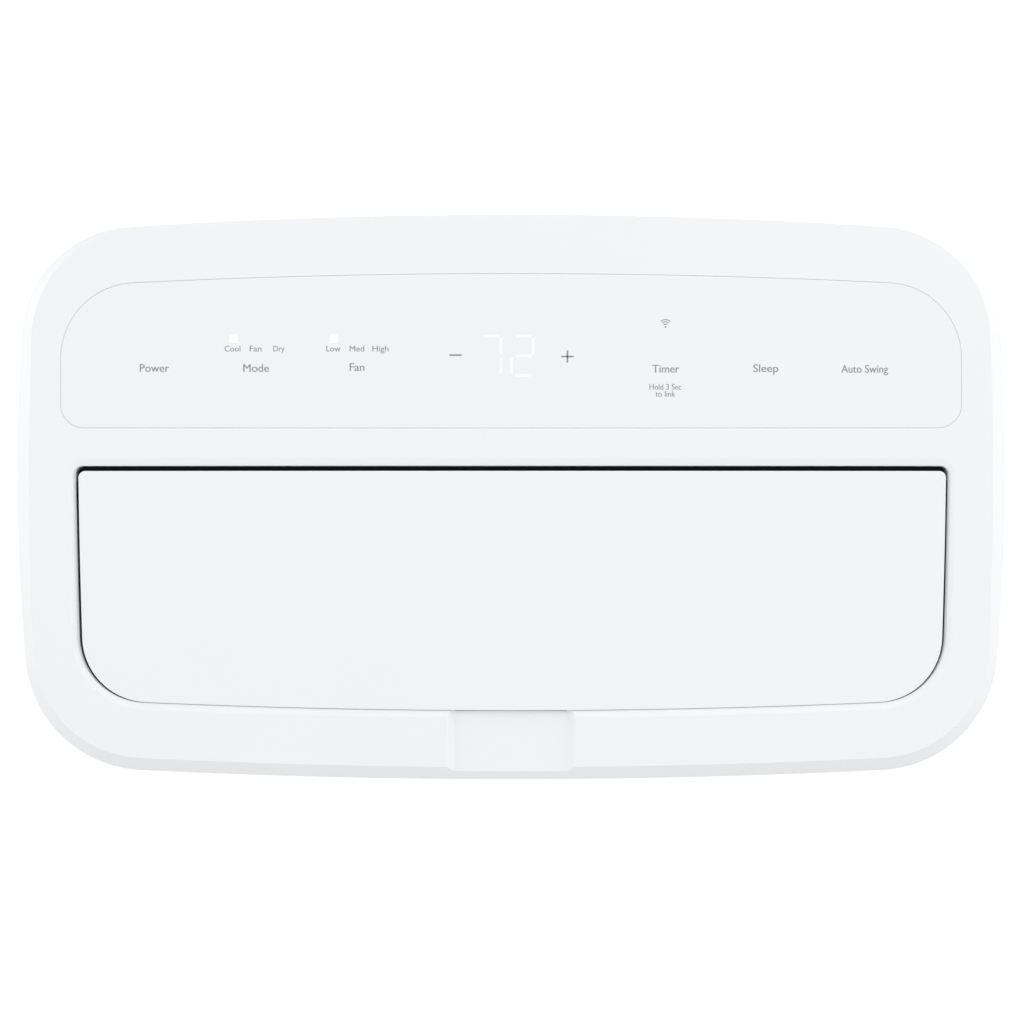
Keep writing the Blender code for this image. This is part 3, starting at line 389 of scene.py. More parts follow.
def piece(name, parts, body="chassis", stands_for=(), sharp=35.0):
    """A finished piece from (mesh, material) parts: smooth between edges, and riding on its body."""
    shape = bmesh.new()
    materials = []
    for mesh, material in parts:
        if material not in materials:
            materials.append(material)
        first = len(shape.faces)
        shape.from_mesh(mesh)
        shape.faces.ensure_lookup_table()
        for face in shape.faces[first:]:
            face.material_index = materials.index(material)
    mesh = bpy.data.meshes.new(name)
    shape.to_mesh(mesh)
    shape.free()
    for material in materials:
        mesh.materials.append(material)
    mesh.shade_smooth()
    mesh.set_sharp_from_angle(angle=math.radians(sharp))
    work = stand_in(mesh)
    modifier = work.modifiers.new("flat faces stay flat", "WEIGHTED_NORMAL")
    modifier.keep_sharp = True
    modifier.weight = 100
    result = applied(work)
    result.name = name
    obj = bpy.data.objects.new(name, result)
    scene.collection.objects.link(obj)
    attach(obj, body)
    if stands_for:
        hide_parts(*stands_for)
    return obj


# ---------------------------------------------------------------- repeats


def node(tree, kind, values=None, group=None):
    """A new node in the tree, with plain values on its sockets."""
    made = tree.nodes.new(kind)
    if group:
        made.node_tree = group
    for name, value in (values or {}).items():
        made.inputs[name].default_value = value
    return made


def group_tree(name, kind, inputs, outputs):
    """An empty node group whose sockets are given as (name, type)."""
    tree = bpy.data.node_groups.new(name, kind)
    for way, sockets in (("INPUT", inputs), ("OUTPUT", outputs)):
        for label, value_type in sockets:
            tree.interface.new_socket(label, in_out=way, socket_type="NodeSocket" + value_type)
    return tree


def copying_tree(name, *places):
    """A tree that copies a shape onto points, as real mesh in one material. The places are its vector inputs."""
    sockets = [("Shape", "Geometry"), ("Count", "Int")]
    sockets += [(place, "Vector") for place in places] + [("Material", "Material")]
    tree = group_tree(name, "GeometryNodeTree", sockets, [("Shape", "Geometry")])
    inputs = node(tree, "NodeGroupInput")
    points = node(tree, "GeometryNodeMeshLine")
    points.mode = "OFFSET"
    copies = node(tree, "GeometryNodeInstanceOnPoints")
    real = node(tree, "GeometryNodeRealizeInstances")
    paint = node(tree, "GeometryNodeSetMaterial")
    output = node(tree, "NodeGroupOutput")
    link = tree.links.new
    link(inputs.outputs["Count"], points.inputs["Count"])
    link(points.outputs[0], copies.inputs["Points"])
    link(inputs.outputs["Shape"], copies.inputs["Instance"])
    link(copies.outputs[0], real.inputs[0])
    link(real.outputs[0], paint.inputs["Geometry"])
    link(inputs.outputs["Material"], paint.inputs["Material"])
    link(paint.outputs[0], output.inputs[0])
    return tree, inputs, points, copies


def row_tree():
    """Copies a shape along a straight row."""
    tree, inputs, points, _ = copying_tree("row_of_copies", "Start", "Step")
    tree.links.new(inputs.outputs["Start"], points.inputs["Start Location"])
    tree.links.new(inputs.outputs["Step"], points.inputs["Offset"])
    return tree


def ring_tree():
    """Copies a shape round an axis through the origin."""
    tree, inputs, points, copies = copying_tree("ring_of_copies", "Turn")
    points.inputs["Offset"].default_value = (0.0, 0.0, 0.0)
    index = node(tree, "GeometryNodeInputIndex")
    scale = node(tree, "ShaderNodeVectorMath")
    scale.operation = "SCALE"
    turn = node(tree, "FunctionNodeEulerToRotation")
    link = tree.links.new
    link(inputs.outputs["Turn"], scale.inputs[0])
    link(index.outputs[0], scale.inputs["Scale"])
    link(scale.outputs[0], turn.inputs[0])
    link(turn.outputs[0], copies.inputs["Rotation"])
    return tree


ROW = row_tree()
RING = ring_tree()


def repeated(mesh, material, *steps):
    """The mesh copied by one tree after another. Each step is (tree, {input name: value})."""
    work = stand_in(mesh)
    for tree, values in steps:
        modifier = work.modifiers.new(tree.name, "NODES")
        modifier.node_group = tree
        given = {**values, "Material": material}
        for item in tree.interface.items_tree:
            if item.in_out == "INPUT" and item.name in given:
                modifier[item.identifier] = given[item.name]
    return applied(work)


def row(count, start, step):
    return ROW, {"Count": count, "Start": tuple(map(float, start)), "Step": tuple(map(float, step))}


def ring(count, axis):
    return RING, {"Count": count, "Turn": tuple(a * math.tau / count for a in axis)}


# ---------------------------------------------------------------- finishes


COAT_ROUGHNESS = 0.08
LEAST_ROUGHNESS = 0.02
LIGHTER_SHARE = 0.3
PATCH_STOPS = (0.3, 0.7)
RELIEF_STRENGTH = 0.35


def moulded_surface_group():
    """Fine grain and broad patches on Object coordinates, shared by the plastics and paints."""
    tree = group_tree(
        "moulded_surface", "ShaderNodeTree",
        [("Grain Scale", "Float"), ("Patch Scale", "Float"), ("Stretch", "Vector")],
        [("Grain", "Float"), ("Patches", "Float"), ("Specks", "Float")],
    )
    inputs = node(tree, "NodeGroupInput")
    output = node(tree, "NodeGroupOutput")
    where = node(tree, "ShaderNodeTexCoord")
    stretch = node(tree, "ShaderNodeVectorMath")
    stretch.operation = "MULTIPLY"
    grain = node(tree, "ShaderNodeTexNoise", {"Detail": 3.0, "Roughness": 0.6})
    patches = node(tree, "ShaderNodeTexNoise", {"Detail": 2.0})
    specks = node(tree, "ShaderNodeTexVoronoi")
    link = tree.links.new
    link(where.outputs["Object"], stretch.inputs[0])
    link(inputs.outputs["Stretch"], stretch.inputs[1])
    for texture, scale, result, label in (
        (grain, "Grain Scale", "Fac", "Grain"), (patches, "Patch Scale", "Fac", "Patches"),
        (specks, "Grain Scale", "Distance", "Specks"),
    ):
        link(stretch.outputs[0], texture.inputs["Vector"])
        link(inputs.outputs[scale], texture.inputs["Scale"])
        link(texture.outputs[result], output.inputs[label])
    return tree


SURFACE = moulded_surface_group()


def finish(
    name, colour, roughness, metallic=0.0, grain=900.0, patches=9.0, depth=0.00004, change=0.03, spread=0.06,
    stretch=(1.0, 1.0, 1.0), coat=0.0, bump="Grain", second=None,
):
    """A finish with fine relief, and slow changes of colour and gloss over the piece."""
    material = bpy.data.materials.new(name)
    material.use_nodes = True
    tree = material.node_tree
    shader = tree.nodes["Principled BSDF"]
    for label, value in (("Metallic", metallic), ("Coat Weight", coat), ("Coat Roughness", COAT_ROUGHNESS)):
        shader.inputs[label].default_value = value
    surface = node(
        tree, "ShaderNodeGroup", {"Grain Scale": grain, "Patch Scale": patches, "Stretch": stretch}, SURFACE
    )
    colours = node(tree, "ShaderNodeValToRGB")
    darker = second or tuple(c * (1.0 - change) for c in colour)
    lighter = tuple(min(1.0, c * (1.0 + change * LIGHTER_SHARE)) for c in colour)
    for stop, position, shade in zip(colours.color_ramp.elements, PATCH_STOPS, (darker, lighter)):
        stop.position = position
        stop.color = (*shade, 1.0)
    gloss = node(
        tree, "ShaderNodeMapRange",
        {"To Min": max(LEAST_ROUGHNESS, roughness - spread / 2), "To Max": roughness + spread / 2},
    )
    relief = node(tree, "ShaderNodeBump", {"Strength": RELIEF_STRENGTH, "Distance": depth})
    link = tree.links.new
    link(surface.outputs["Patches"], colours.inputs["Fac"])
    link(surface.outputs["Patches"], gloss.inputs["Value"])
    link(surface.outputs[bump], relief.inputs["Height"])
    link(colours.outputs["Color"], shader.inputs["Base Color"])
    link(gloss.outputs["Result"], shader.inputs["Roughness"])
    link(relief.outputs["Normal"], shader.inputs["Normal"])
    return material


def lit(name, colour, strength):
    """A lit symbol seen through the touch cover."""
    material = finish(name, colour, 0.3, change=0.01)
    shader = material.node_tree.nodes["Principled BSDF"]
    shader.inputs["Emission Color"].default_value = (*colour, 1.0)
    shader.inputs["Emission Strength"].default_value = strength
    return material


def board_finish():
    """Solder mask with copper traces under it."""
    material = finish("circuit_board", (0.03, 0.20, 0.09), 0.35, coat=0.4, second=(0.02, 0.15, 0.07))
    tree = material.node_tree
    where = node(tree, "ShaderNodeTexCoord")
    traces = node(tree, "ShaderNodeTexBrick", {
        "Scale": 90.0, "Mortar Size": 0.06, "Color1": (0.025, 0.19, 0.085, 1.0), "Color2": (0.02, 0.16, 0.075, 1.0),
        "Mortar": (0.10, 0.33, 0.12, 1.0),
    })
    tree.links.new(where.outputs["Object"], traces.inputs["Vector"])
    tree.links.new(traces.outputs["Color"], tree.nodes["Principled BSDF"].inputs["Base Color"])
    return material


FACE_WHITE = finish("face_white", (0.876, 0.884, 0.899), 0.36, grain=1500.0, depth=0.000006, change=0.006)
COVER_WHITE = finish(
    "touch_cover_white", (0.876, 0.884, 0.899), 0.16, grain=300.0, depth=0.000004, change=0.004, spread=0.03, coat=0.5
)
PRINT_GREY = finish("print_grey", (0.27, 0.29, 0.305), 0.45, change=0.04)
DIGIT_LIGHT = lit("digit_light", (0.925, 0.955, 0.955), 0.01)
LAMP_LIGHT = lit("lamp_light", (0.97, 0.97, 0.97), 0.05)
# Black duct plastic. On the flap's ribs, ears and hinge pins the same black is painted shade that stands for the dark
# gap round the flap.
DUCT_BLACK_AND_PAINTED_SHADE = finish("duct_black_and_painted_shade", (0.010, 0.010, 0.011), 0.55, grain=1100.0, depth=0.00003, change=0.15)
DARK_PLASTIC = finish("fan_plastic", (0.035, 0.036, 0.04), 0.48, grain=1100.0, depth=0.00003, change=0.15)
GREY_PLASTIC = finish("duct_grey", (0.36, 0.38, 0.39), 0.5, grain=1000.0, depth=0.00003, change=0.06)
FILTER_GREY = finish("filter_grey", (0.30, 0.33, 0.36), 0.55, grain=1000.0, depth=0.00003, change=0.08)
CABINET_PAINT = finish(
    "cabinet_paint", (0.66, 0.665, 0.66), 0.42, grain=520.0, depth=0.00006, change=0.03, coat=0.1
)
ZINC_SHEET = finish(
    "zinc_sheet", (0.58, 0.60, 0.61), 0.36, metallic=0.9, grain=160.0, patches=70.0, depth=0.00002, change=0.18,
    spread=0.22, bump="Specks",
)
BRIGHT_STEEL = finish(
    "bright_steel", (0.66, 0.66, 0.67), 0.26, metallic=1.0, grain=500.0, patches=30.0, depth=0.00001, change=0.06,
    stretch=(1.0, 14.0, 1.0),
)
FIN_ALUMINIUM = finish(
    "fin_aluminium", (0.74, 0.76, 0.78), 0.34, metallic=1.0, grain=700.0, patches=26.0, depth=0.00002, change=0.10,
    spread=0.14,
)
COPPER = finish(
    "copper", (0.74, 0.38, 0.24), 0.27, metallic=1.0, grain=420.0, patches=38.0, depth=0.00001, change=0.3,
    spread=0.2, second=(0.44, 0.20, 0.13),
)
BLACK_ENAMEL = finish("black_enamel", (0.014, 0.014, 0.016), 0.28, grain=260.0, depth=0.00005, change=0.2, coat=0.3)
RUBBER = finish("black_rubber", (0.022, 0.022, 0.023), 0.78, grain=1300.0, depth=0.00006, change=0.25)
BULKHEAD_FOAM = finish(
    "bulkhead_foam", (0.80, 0.80, 0.775), 0.88, grain=330.0, depth=0.0004, change=0.05, bump="Specks"
)
BOARD = board_finish()


# ---------------------------------------------------------------- front shell


def rim_outline(share, grow=0.0):
    """The panel's outline where this share of the rim's width is still to come."""
    return oblong(**between(BODY, FACE, share), grow=grow)


def rim_share(depth):
    """A straight bevel from the crease that turns softly into the side wall."""
    along = depth / RIM_DEPTH
    if along < RIM_TURN:
        return 1.0 - along / RIM_REACH
    return RIM_TURN_SHARE * max(0.0, 1.0 - (along - RIM_TURN) / RIM_TURN_LENGTH) ** 2


def mouth_rings():
    """The slope down to the narrow ledge, the edge of the mouth, and the sleeve behind it, inside and out."""
    slope = [(between(CHAMFER, LEDGE, share), depth) for share, depth in (
        (-0.04, 0.0), (0.02, 0.00001), (0.10, 0.00006), (0.5, 0.0005), (0.95, 0.00105),
    )]
    slope += [(between(LEDGE, MOUTH, share), depth) for share, depth in (
        (0.04, 0.0012), (0.5, 0.0021), (0.94, 0.0030),
    )]
    slope.append((MOUTH, 0.0034))
    rings = [at_y(oblong(**outline), FRONT_Y + depth) for outline, depth in slope]
    return rings + grown_rings(MOUTH, (
        (0.0, SLEEVE_BACK_Y - 0.0003), (0.0003, SLEEVE_BACK_Y), (SLEEVE_WALL - 0.0003, SLEEVE_BACK_Y),
        (SLEEVE_WALL, SLEEVE_BACK_Y - 0.0003), (SLEEVE_WALL, FRONT_Y + 0.0075), (0.0040, FRONT_Y + FACE_WALL),
    ))


def recess_cutters():
    """The finger recess with its soft side slopes, and the gap that it opens in the mouth's lower edge."""
    right = []
    for k in range(11):
        share = k / 10
        x = RECESS_FLOOR + (RECESS_EDGE - RECESS_FLOOR) * share
        right.append((x, FRONT_Y + RECESS_DEPTH * (1 - (3 - 2 * share) * share**2)))
    in_front = FRONT_Y - 0.004
    profile = right + [(RECESS_EDGE, in_front), (-RECESS_EDGE, in_front)] + mirrored(right)
    gap = rounded_box(
        (-RECESS_FLOOR, FRONT_Y - 0.001, RECESS_GAP_LOW), (RECESS_FLOOR, FRONT_Y + 0.0072, RECESS_GAP_HIGH), 0.0
    )
    return prism(profile, "Z", RECESS_LOW, RECESS_HIGH), gap


def make_front_shell():
    """The face with its creased rim, the seat for the touch cover, the flap's mouth and the finger recess."""
    shape = bmesh.new()
    outer = [(0.0, 1.03), (0.00005, 1.012)]
    outer += [(0.00018 + depth, rim_share(depth)) for depth in (RIM_DEPTH * k / 14 for k in range(15))]
    rings = [at_y(rim_outline(share), FRONT_Y + depth) for depth, share in outer]
    rings += grown_rings(BODY, (
        (0.0, PANEL_BACK_Y - 0.0006), (-0.00018, PANEL_BACK_Y - 0.00018), (-0.0006, PANEL_BACK_Y),
        (-0.0026, PANEL_BACK_Y), (-WALL, PANEL_BACK_Y - 0.0004),
    ))
    rings += [at_y(rim_outline(rim_share(depth), -WALL), FRONT_Y + depth) for depth in (0.014, 0.011, 0.008)]
    rings.append(at_y(rim_outline(rim_share(0.0062), -WALL), FRONT_Y + FACE_WALL))
    body = skin(shape, rings)
    mouth = skin(shape, mouth_rings())
    seat = skin(shape, grown_rings(LENS, (
        (0.00042, 0.0), (0.00030, 0.00003), (0.00024, 0.00012), (0.00022, 0.00055), (-0.0012, 0.00055),
        (-0.0012, 0.0018), (-0.0047, 0.0018), (-0.0050, 0.0021), (-0.0050, FACE_WALL),
    ), FRONT_Y))
    fill_flat(shape, body[0], mouth[0], seat[0])
    fill_flat(shape, body[-1], mouth[-1], seat[-1])
    mesh = mesh_from(shape)
    holes = [
        rod("X", (HINGE.y, HINGE.z), HINGE_HOLE_RADIUS, *sorted(side * x for x in HINGE_HOLE_X), sides=24)
        for side in (-1, 1)
    ]
    shell = cut(mesh, *recess_cutters(), *holes)
    piece("front_shell", [(shell, FACE_WHITE)], stands_for=["front_panel"], sharp=28)


def make_touch_cover():
    """The flush glossy cover."""
    cover = capped(grown_rings(LENS, (
        (-0.00025, 0.0), (-0.00008, 0.00004), (0.0, 0.00016), (0.0, 0.00034), (-0.0016, 0.00034), (-0.0016, 0.0014),
    ), LENS_Y))
    piece("touch_cover", [(cover, COVER_WHITE)], stands_for=["touch_lens"], sharp=50)


# ---------------------------------------------------------------- symbols on the touch cover


CAPITAL_SHARE = 0.62
LABEL_HEIGHT = 0.0038
LABEL_WEIGHT = 0.00014
SMALL_LABEL_HEIGHT = 0.0028
SMALL_LABEL_WEIGHT = 0.00008
SIGN_LENGTH = 0.0067
SIGN_WIDTH = 0.0009
MINUS_PLACE = (-0.0303, 0.2326)
PLUS_PLACE = (0.0307, 0.2318)
LINK_SIGN = (0.0840, 0.2479)
DIGIT_BASE = 0.2215
LAMP_SIZE = 0.0046
LAMP_PLACES = ((-0.1510, 0.2416), (-0.0963, 0.2416))


def lettering(words, left, right, base_z, cap_height, weight):
    """One line of plain lettering fitted between left and right, as thin as a print."""
    curve = bpy.data.curves.new("letters", "FONT")
    curve.body = words
    curve.size = cap_height / CAPITAL_SHARE
    curve.resolution_u = 4
    curve.extrude = PRINT_DEPTH
    flat = applied(stand_in(curve, "letters"))
    natural = [v.co.x for v in flat.vertices]
    stretch = (right - left - weight) / (max(natural) - min(natural))
    place = Matrix.Translation((left - min(natural) * stretch, LENS_Y, base_z)) @ Matrix.Rotation(math.pi / 2, 4, "X")
    flat.transform(place @ Matrix.Diagonal((stretch, 1.0, 1.0, 1.0)))
    return gathered(*[
        moved(flat, Matrix.Translation((weight * k / 2, PRINT_DEPTH * (k - 1) / 8, 0.0))) for k in range(3)
    ])


def printed(outline):
    """A flat outline on the touch cover, as thin as a print."""
    return prism(outline, "Y", LENS_Y - PRINT_DEPTH, LENS_Y + PRINT_DEPTH)


def stroke(low, high):
    """A flat rounded print between two (x, z) corners."""
    radius = min(high[0] - low[0], high[1] - low[1]) * 0.12
    return printed(rounded_rectangle(low, high, radius, 2))


def bar(centre, width, height):
    low = (centre[0] - width / 2, centre[1] - height / 2)
    return stroke(low, (low[0] + width, low[1] + height))


def arc_print(centre, radius, thickness, low_angle, high_angle):
    """A flat printed arc."""
    angles = [math.radians(low_angle + (high_angle - low_angle) * k / 14) for k in range(15)]
    outline = []
    for edge, way in ((radius + thickness / 2, angles), (radius - thickness / 2, angles[::-1])):
        outline += [(centre[0] + edge * math.cos(a), centre[1] + edge * math.sin(a)) for a in way]
    return printed(outline)


LABELS = [
    ("Power", -0.2021, -0.1861, 0.2235), ("Mode", -0.1458, -0.1318, 0.2235), ("Fan", -0.0879, -0.0798, 0.2240),
    ("Timer", 0.0769, 0.0916, 0.2231), ("Sleep", 0.1317, 0.1455, 0.2234), ("Auto Swing", 0.1797, 0.2052, 0.2230),
]
SMALL_LABELS = [
    ("Cool", -0.1560, -0.1473, 0.2346), ("Fan", -0.1423, -0.1358, 0.2346), ("Dry", -0.1294, -0.1233, 0.2346),
    ("Low", -0.1006, -0.0928, 0.2346), ("Med", -0.0879, -0.0799, 0.2346), ("High", -0.0755, -0.0667, 0.2346),
    ("Hold 3 Sec", 0.0753, 0.0927, 0.2138), ("to link", 0.0786, 0.0894, 0.2100),
]


def make_symbols():
    """The grey printed words and signs."""
    parts = [lettering(*label, LABEL_HEIGHT, LABEL_WEIGHT) for label in LABELS]
    parts += [lettering(*label, SMALL_LABEL_HEIGHT, SMALL_LABEL_WEIGHT) for label in SMALL_LABELS]
    parts.append(bar(MINUS_PLACE, SIGN_LENGTH, SIGN_WIDTH))
    parts.append(bar(PLUS_PLACE, SIGN_LENGTH, SIGN_WIDTH))
    parts.append(bar(PLUS_PLACE, SIGN_WIDTH, SIGN_LENGTH))
    parts += [arc_print(LINK_SIGN, radius, 0.0005, 48, 132) for radius in (0.0016, 0.0028, 0.0040)]
    parts.append(printed(circle(LINK_SIGN, 0.0005, 12)))
    piece("panel_symbols", [(gathered(*parts), PRINT_GREY)], sharp=60)


SEGMENTS = {
    "top": ((0.0026, 0.0206), (0.0112, 0.0224)), "middle": ((0.0026, 0.0098), (0.0112, 0.0116)),
    "bottom": ((0.0026, -0.0008), (0.0112, 0.0010)), "high_left": ((-0.0006, 0.0115), (0.0012, 0.0206)),
    "low_left": ((-0.0006, 0.0008), (0.0012, 0.0099)), "high_right": ((0.0112, 0.0115), (0.0130, 0.0206)),
    "low_right": ((0.0112, 0.0008), (0.0130, 0.0099)),
}
DIGITS = {7: ("top", "high_right", "low_right"), 2: ("top", "high_right", "middle", "low_left", "bottom")}


def make_lights():
    """The two-digit display and the two lit squares, seen through the cover."""
    parts = []
    for digit, left in ((7, -0.0176), (2, -0.0001)):
        for name in DIGITS[digit]:
            parts.append(stroke(*[(left + x, DIGIT_BASE + z) for x, z in SEGMENTS[name]]))
    piece("display_digits", [(gathered(*parts), DIGIT_LIGHT)], sharp=60)
    squares = [bar(place, LAMP_SIZE, LAMP_SIZE) for place in LAMP_PLACES]
    piece("mode_lamps", [(gathered(*squares), LAMP_LIGHT)], sharp=60)


# ---------------------------------------------------------------- flap


def make_flap():
    """The swing flap with a soft edge, ribs behind it, and an ear and pin at each end."""
    plate = capped(grown_rings(FLAP, (
        (-0.0005, 0.0), (-0.0002, 0.00005), (-0.00004, 0.0002), (0.0, 0.0005), (0.0, 0.0027), (-0.0003, 0.0030),
    ), FRONT_Y))
    root_y = FRONT_Y + 0.0025
    parts = [
        rounded_box((-0.220, root_y, z - 0.001), (0.220, FRONT_Y + 0.006, z + 0.001), 0.0004)
        for z in (0.070, 0.100, 0.130)
    ]
    ear = [(root_y, 0.150), (HINGE.y + 0.001, 0.1525)]
    for k in range(11):
        angle = math.radians(-55 + 145 * k / 10)
        ear.append((HINGE.y + EAR_RADIUS * math.cos(angle), HINGE.z + EAR_RADIUS * math.sin(angle)))
    ear.append((root_y, 0.1645))
    for side, pin_end in ((-1, LEFT_PIN_END), (1, RIGHT_PIN_END)):
        parts.append(prism(ear, "X", *sorted(side * x for x in EAR_X), 0.0004))
        ends = sorted((side * PIN_START, side * pin_end))
        parts.append(rod("X", (HINGE.y, HINGE.z), HINGE_PIN_RADIUS, *ends, 0.0003, 24))
    # The ribs, ears and pins are black so that the pins, seen through the gap round the flap, read as the shade in
    # that gap: painted shade.
    piece(
        "flap_plate", [(plate, FACE_WHITE), (gathered(*parts), DUCT_BLACK_AND_PAINTED_SHADE)], "flap", ["swing_flap"],
        sharp=40,
    )


# ---------------------------------------------------------------- outlet, vanes and link bar


DUCT_LOW = 0.040
DUCT_HIGH = 0.154
VANE_Y = FRONT_Y + 0.030
VANE_LOW = 0.048
VANE_HIGH = 0.152
VANE_CHORD = 0.022
PIVOT_RADIUS = 0.0015
PIVOT_HOLE_RADIUS = 0.0019
BOSS_RADIUS = 0.0022


def vane_places():
    return [middle_of(f"vane_{k}")[0] for k in range(1, 9)]


def make_outlet():
    """The frame behind the mouth, with its flange, four walls and the vanes' pivot holes."""
    opening = rounded_rectangle((-0.205, DUCT_LOW), (0.205, DUCT_HIGH), 0.0012, 2)
    front = FRONT_Y + 0.017
    flange = prism(oblong(**MOUTH, grow=0.0035), "Y", front, front + 0.003, 0.0003, [opening])
    outside = rounded_rectangle((-0.208, DUCT_LOW - 0.004), (0.208, DUCT_HIGH + 0.004), 0.0035, 3)
    walls = prism(outside, "Y", front + 0.002, FRONT_Y + 0.043, 0.0004, [opening])
    holes = [
        rod("Z", (x, VANE_Y), PIVOT_HOLE_RADIUS, DUCT_LOW - 0.0028, DUCT_HIGH + 0.0028) for x in vane_places()
    ]
    walls = cut(walls, gathered(*holes))
    frame_mesh = gathered(flange, walls)
    piece("outlet_surround", [(frame_mesh, DUCT_BLACK_AND_PAINTED_SHADE)], stands_for=["outlet_frame"])


def make_vanes():
    """Thin vanes with rounded edges, a boss at each end, two pivots and a drive pin for the link bar."""
    half = VANE_CHORD / 2
    profile = [(0.0002, -half), (0.00055, -half + 0.0006), (0.0008, -half + 0.003), (0.0008, half - 0.003),
               (0.00055, half - 0.0006), (0.0002, half)]
    profile += mirrored(profile)
    blade = prism(profile, "Z", VANE_LOW, VANE_HIGH, 0.0002)
    pivot = (0.0, 0.0)
    mesh = gathered(
        blade,
        rod("Z", pivot, PIVOT_RADIUS, VANE_HIGH - 0.0020, 0.1565, 0.0002),
        rod("Z", pivot, PIVOT_RADIUS, 0.0375, VANE_LOW + 0.0020, 0.0002),
        rod("Z", (0.0, 0.009), 0.0012, 0.0420, VANE_LOW + 0.0020, 0.0002),
        rod("Z", pivot, BOSS_RADIUS, VANE_HIGH - 0.0030, VANE_HIGH, 0.0003, 20),
        rod("Z", pivot, BOSS_RADIUS, VANE_LOW, VANE_LOW + 0.0030, 0.0003, 20),
    )
    for number, x in enumerate(vane_places(), start=1):
        piece(
            f"vane_blade_{number}", [(moved(mesh, Matrix.Translation((x, VANE_Y, 0.0))), DARK_PLASTIC)],
            f"vane_{number}", [f"vane_{number}"],
        )


# ---------------------------------------------------------------- front housing, filter and gland


HOUSING_FRONT_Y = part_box("front_housing")[0][1]
HOUSING_BACK_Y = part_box("front_housing")[1][1]
FILTER_LOW, FILTER_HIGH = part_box("air_filter")
FILTER_BORDER = 0.006
GRIP_LENGTH = 0.024
STRAND_HALF = 0.00018
STRAND_PITCH = 0.0021
GRILLE_LENGTH = 0.068
GRILLE_WIDTH = 0.0046
GRILLE_PITCH = 0.008
GRILLE_COUNT = 49
GLAND_HOLE_RADIUS = 0.0065


def slot_outline(length, width):
    """A slot with round ends, centred, along the second coordinate."""
    steps = 6
    radius = width / 2
    reach = length / 2 - radius
    points = []
    for k in range(steps + 1):
        angle = math.pi * k / steps
        points.append((radius * math.cos(angle), reach + radius * math.sin(angle)))
    return points + [(-x, -y) for x, y in points]


def make_collar():
    """The housing behind the front panel, with a fine intake grille in its top and a slot for the filter."""
    shape = bmesh.new()
    outside = skin(shape, grown_rings(BODY, (
        (-WALL, HOUSING_FRONT_Y + 0.0004), (-0.0026, HOUSING_FRONT_Y), (-0.0006, HOUSING_FRONT_Y),
        (-0.00018, HOUSING_FRONT_Y + 0.00018), (0.0, HOUSING_FRONT_Y + 0.0006), (0.0, HOUSING_BACK_Y - 0.0030),
        (-0.0004, HOUSING_BACK_Y - 0.0014), (-0.0014, HOUSING_BACK_Y - 0.0004), (-0.0030, HOUSING_BACK_Y),
    )))
    opening = rounded_rectangle((-0.217, 0.016), (0.217, 0.280), 0.008)
    edge = skin(shape, [at_y(opening, HOUSING_BACK_Y), at_y(opening, HOUSING_BACK_Y - WALL)])
    inside = skin(shape, grown_rings(BODY, ((-WALL, HOUSING_BACK_Y - WALL), (-WALL, HOUSING_FRONT_Y + 0.0004))))
    fill_flat(shape, outside[-1], edge[0])
    fill_flat(shape, inside[0], edge[1])
    collar = mesh_from(shape)
    slot = prism(slot_outline(GRILLE_LENGTH, GRILLE_WIDTH), "Z", 0.290, 0.330)
    middle_y = (HOUSING_FRONT_Y + 0.009 + HOUSING_BACK_Y - 0.010) / 2
    first_x = -GRILLE_PITCH * (GRILLE_COUNT - 1) / 2
    slots = repeated(slot, FACE_WHITE, row(GRILLE_COUNT, (first_x, middle_y, 0.0), (GRILLE_PITCH, 0.0, 0.0)))
    door_outline = rounded_rectangle((FILTER_LOW[1] - 0.003, 0.2745), (FILTER_HIGH[1] + 0.003, 0.2819), 0.0015, 3)
    door = prism(door_outline, "X", 0.235, 0.290)
    x, _, z = middle_of("cord_gland")
    gland_hole = rod("Y", (x, z), GLAND_HOLE_RADIUS, HOUSING_BACK_Y - 0.010, HOUSING_BACK_Y + 0.010, sides=24)
    collar = cut(collar, slots, door, gland_hole)
    rib = rounded_box((-0.196, -0.0012, 0.2975), (0.196, 0.0012, 0.3015), 0.0004)
    ribs = repeated(rib, FACE_WHITE, row(2, (0.0, middle_y - 0.012, 0.0), (0.0, 0.024, 0.0)))
    housing = gathered(collar, ribs)
    piece("housing_collar", [(housing, FACE_WHITE)], stands_for=["front_housing"])


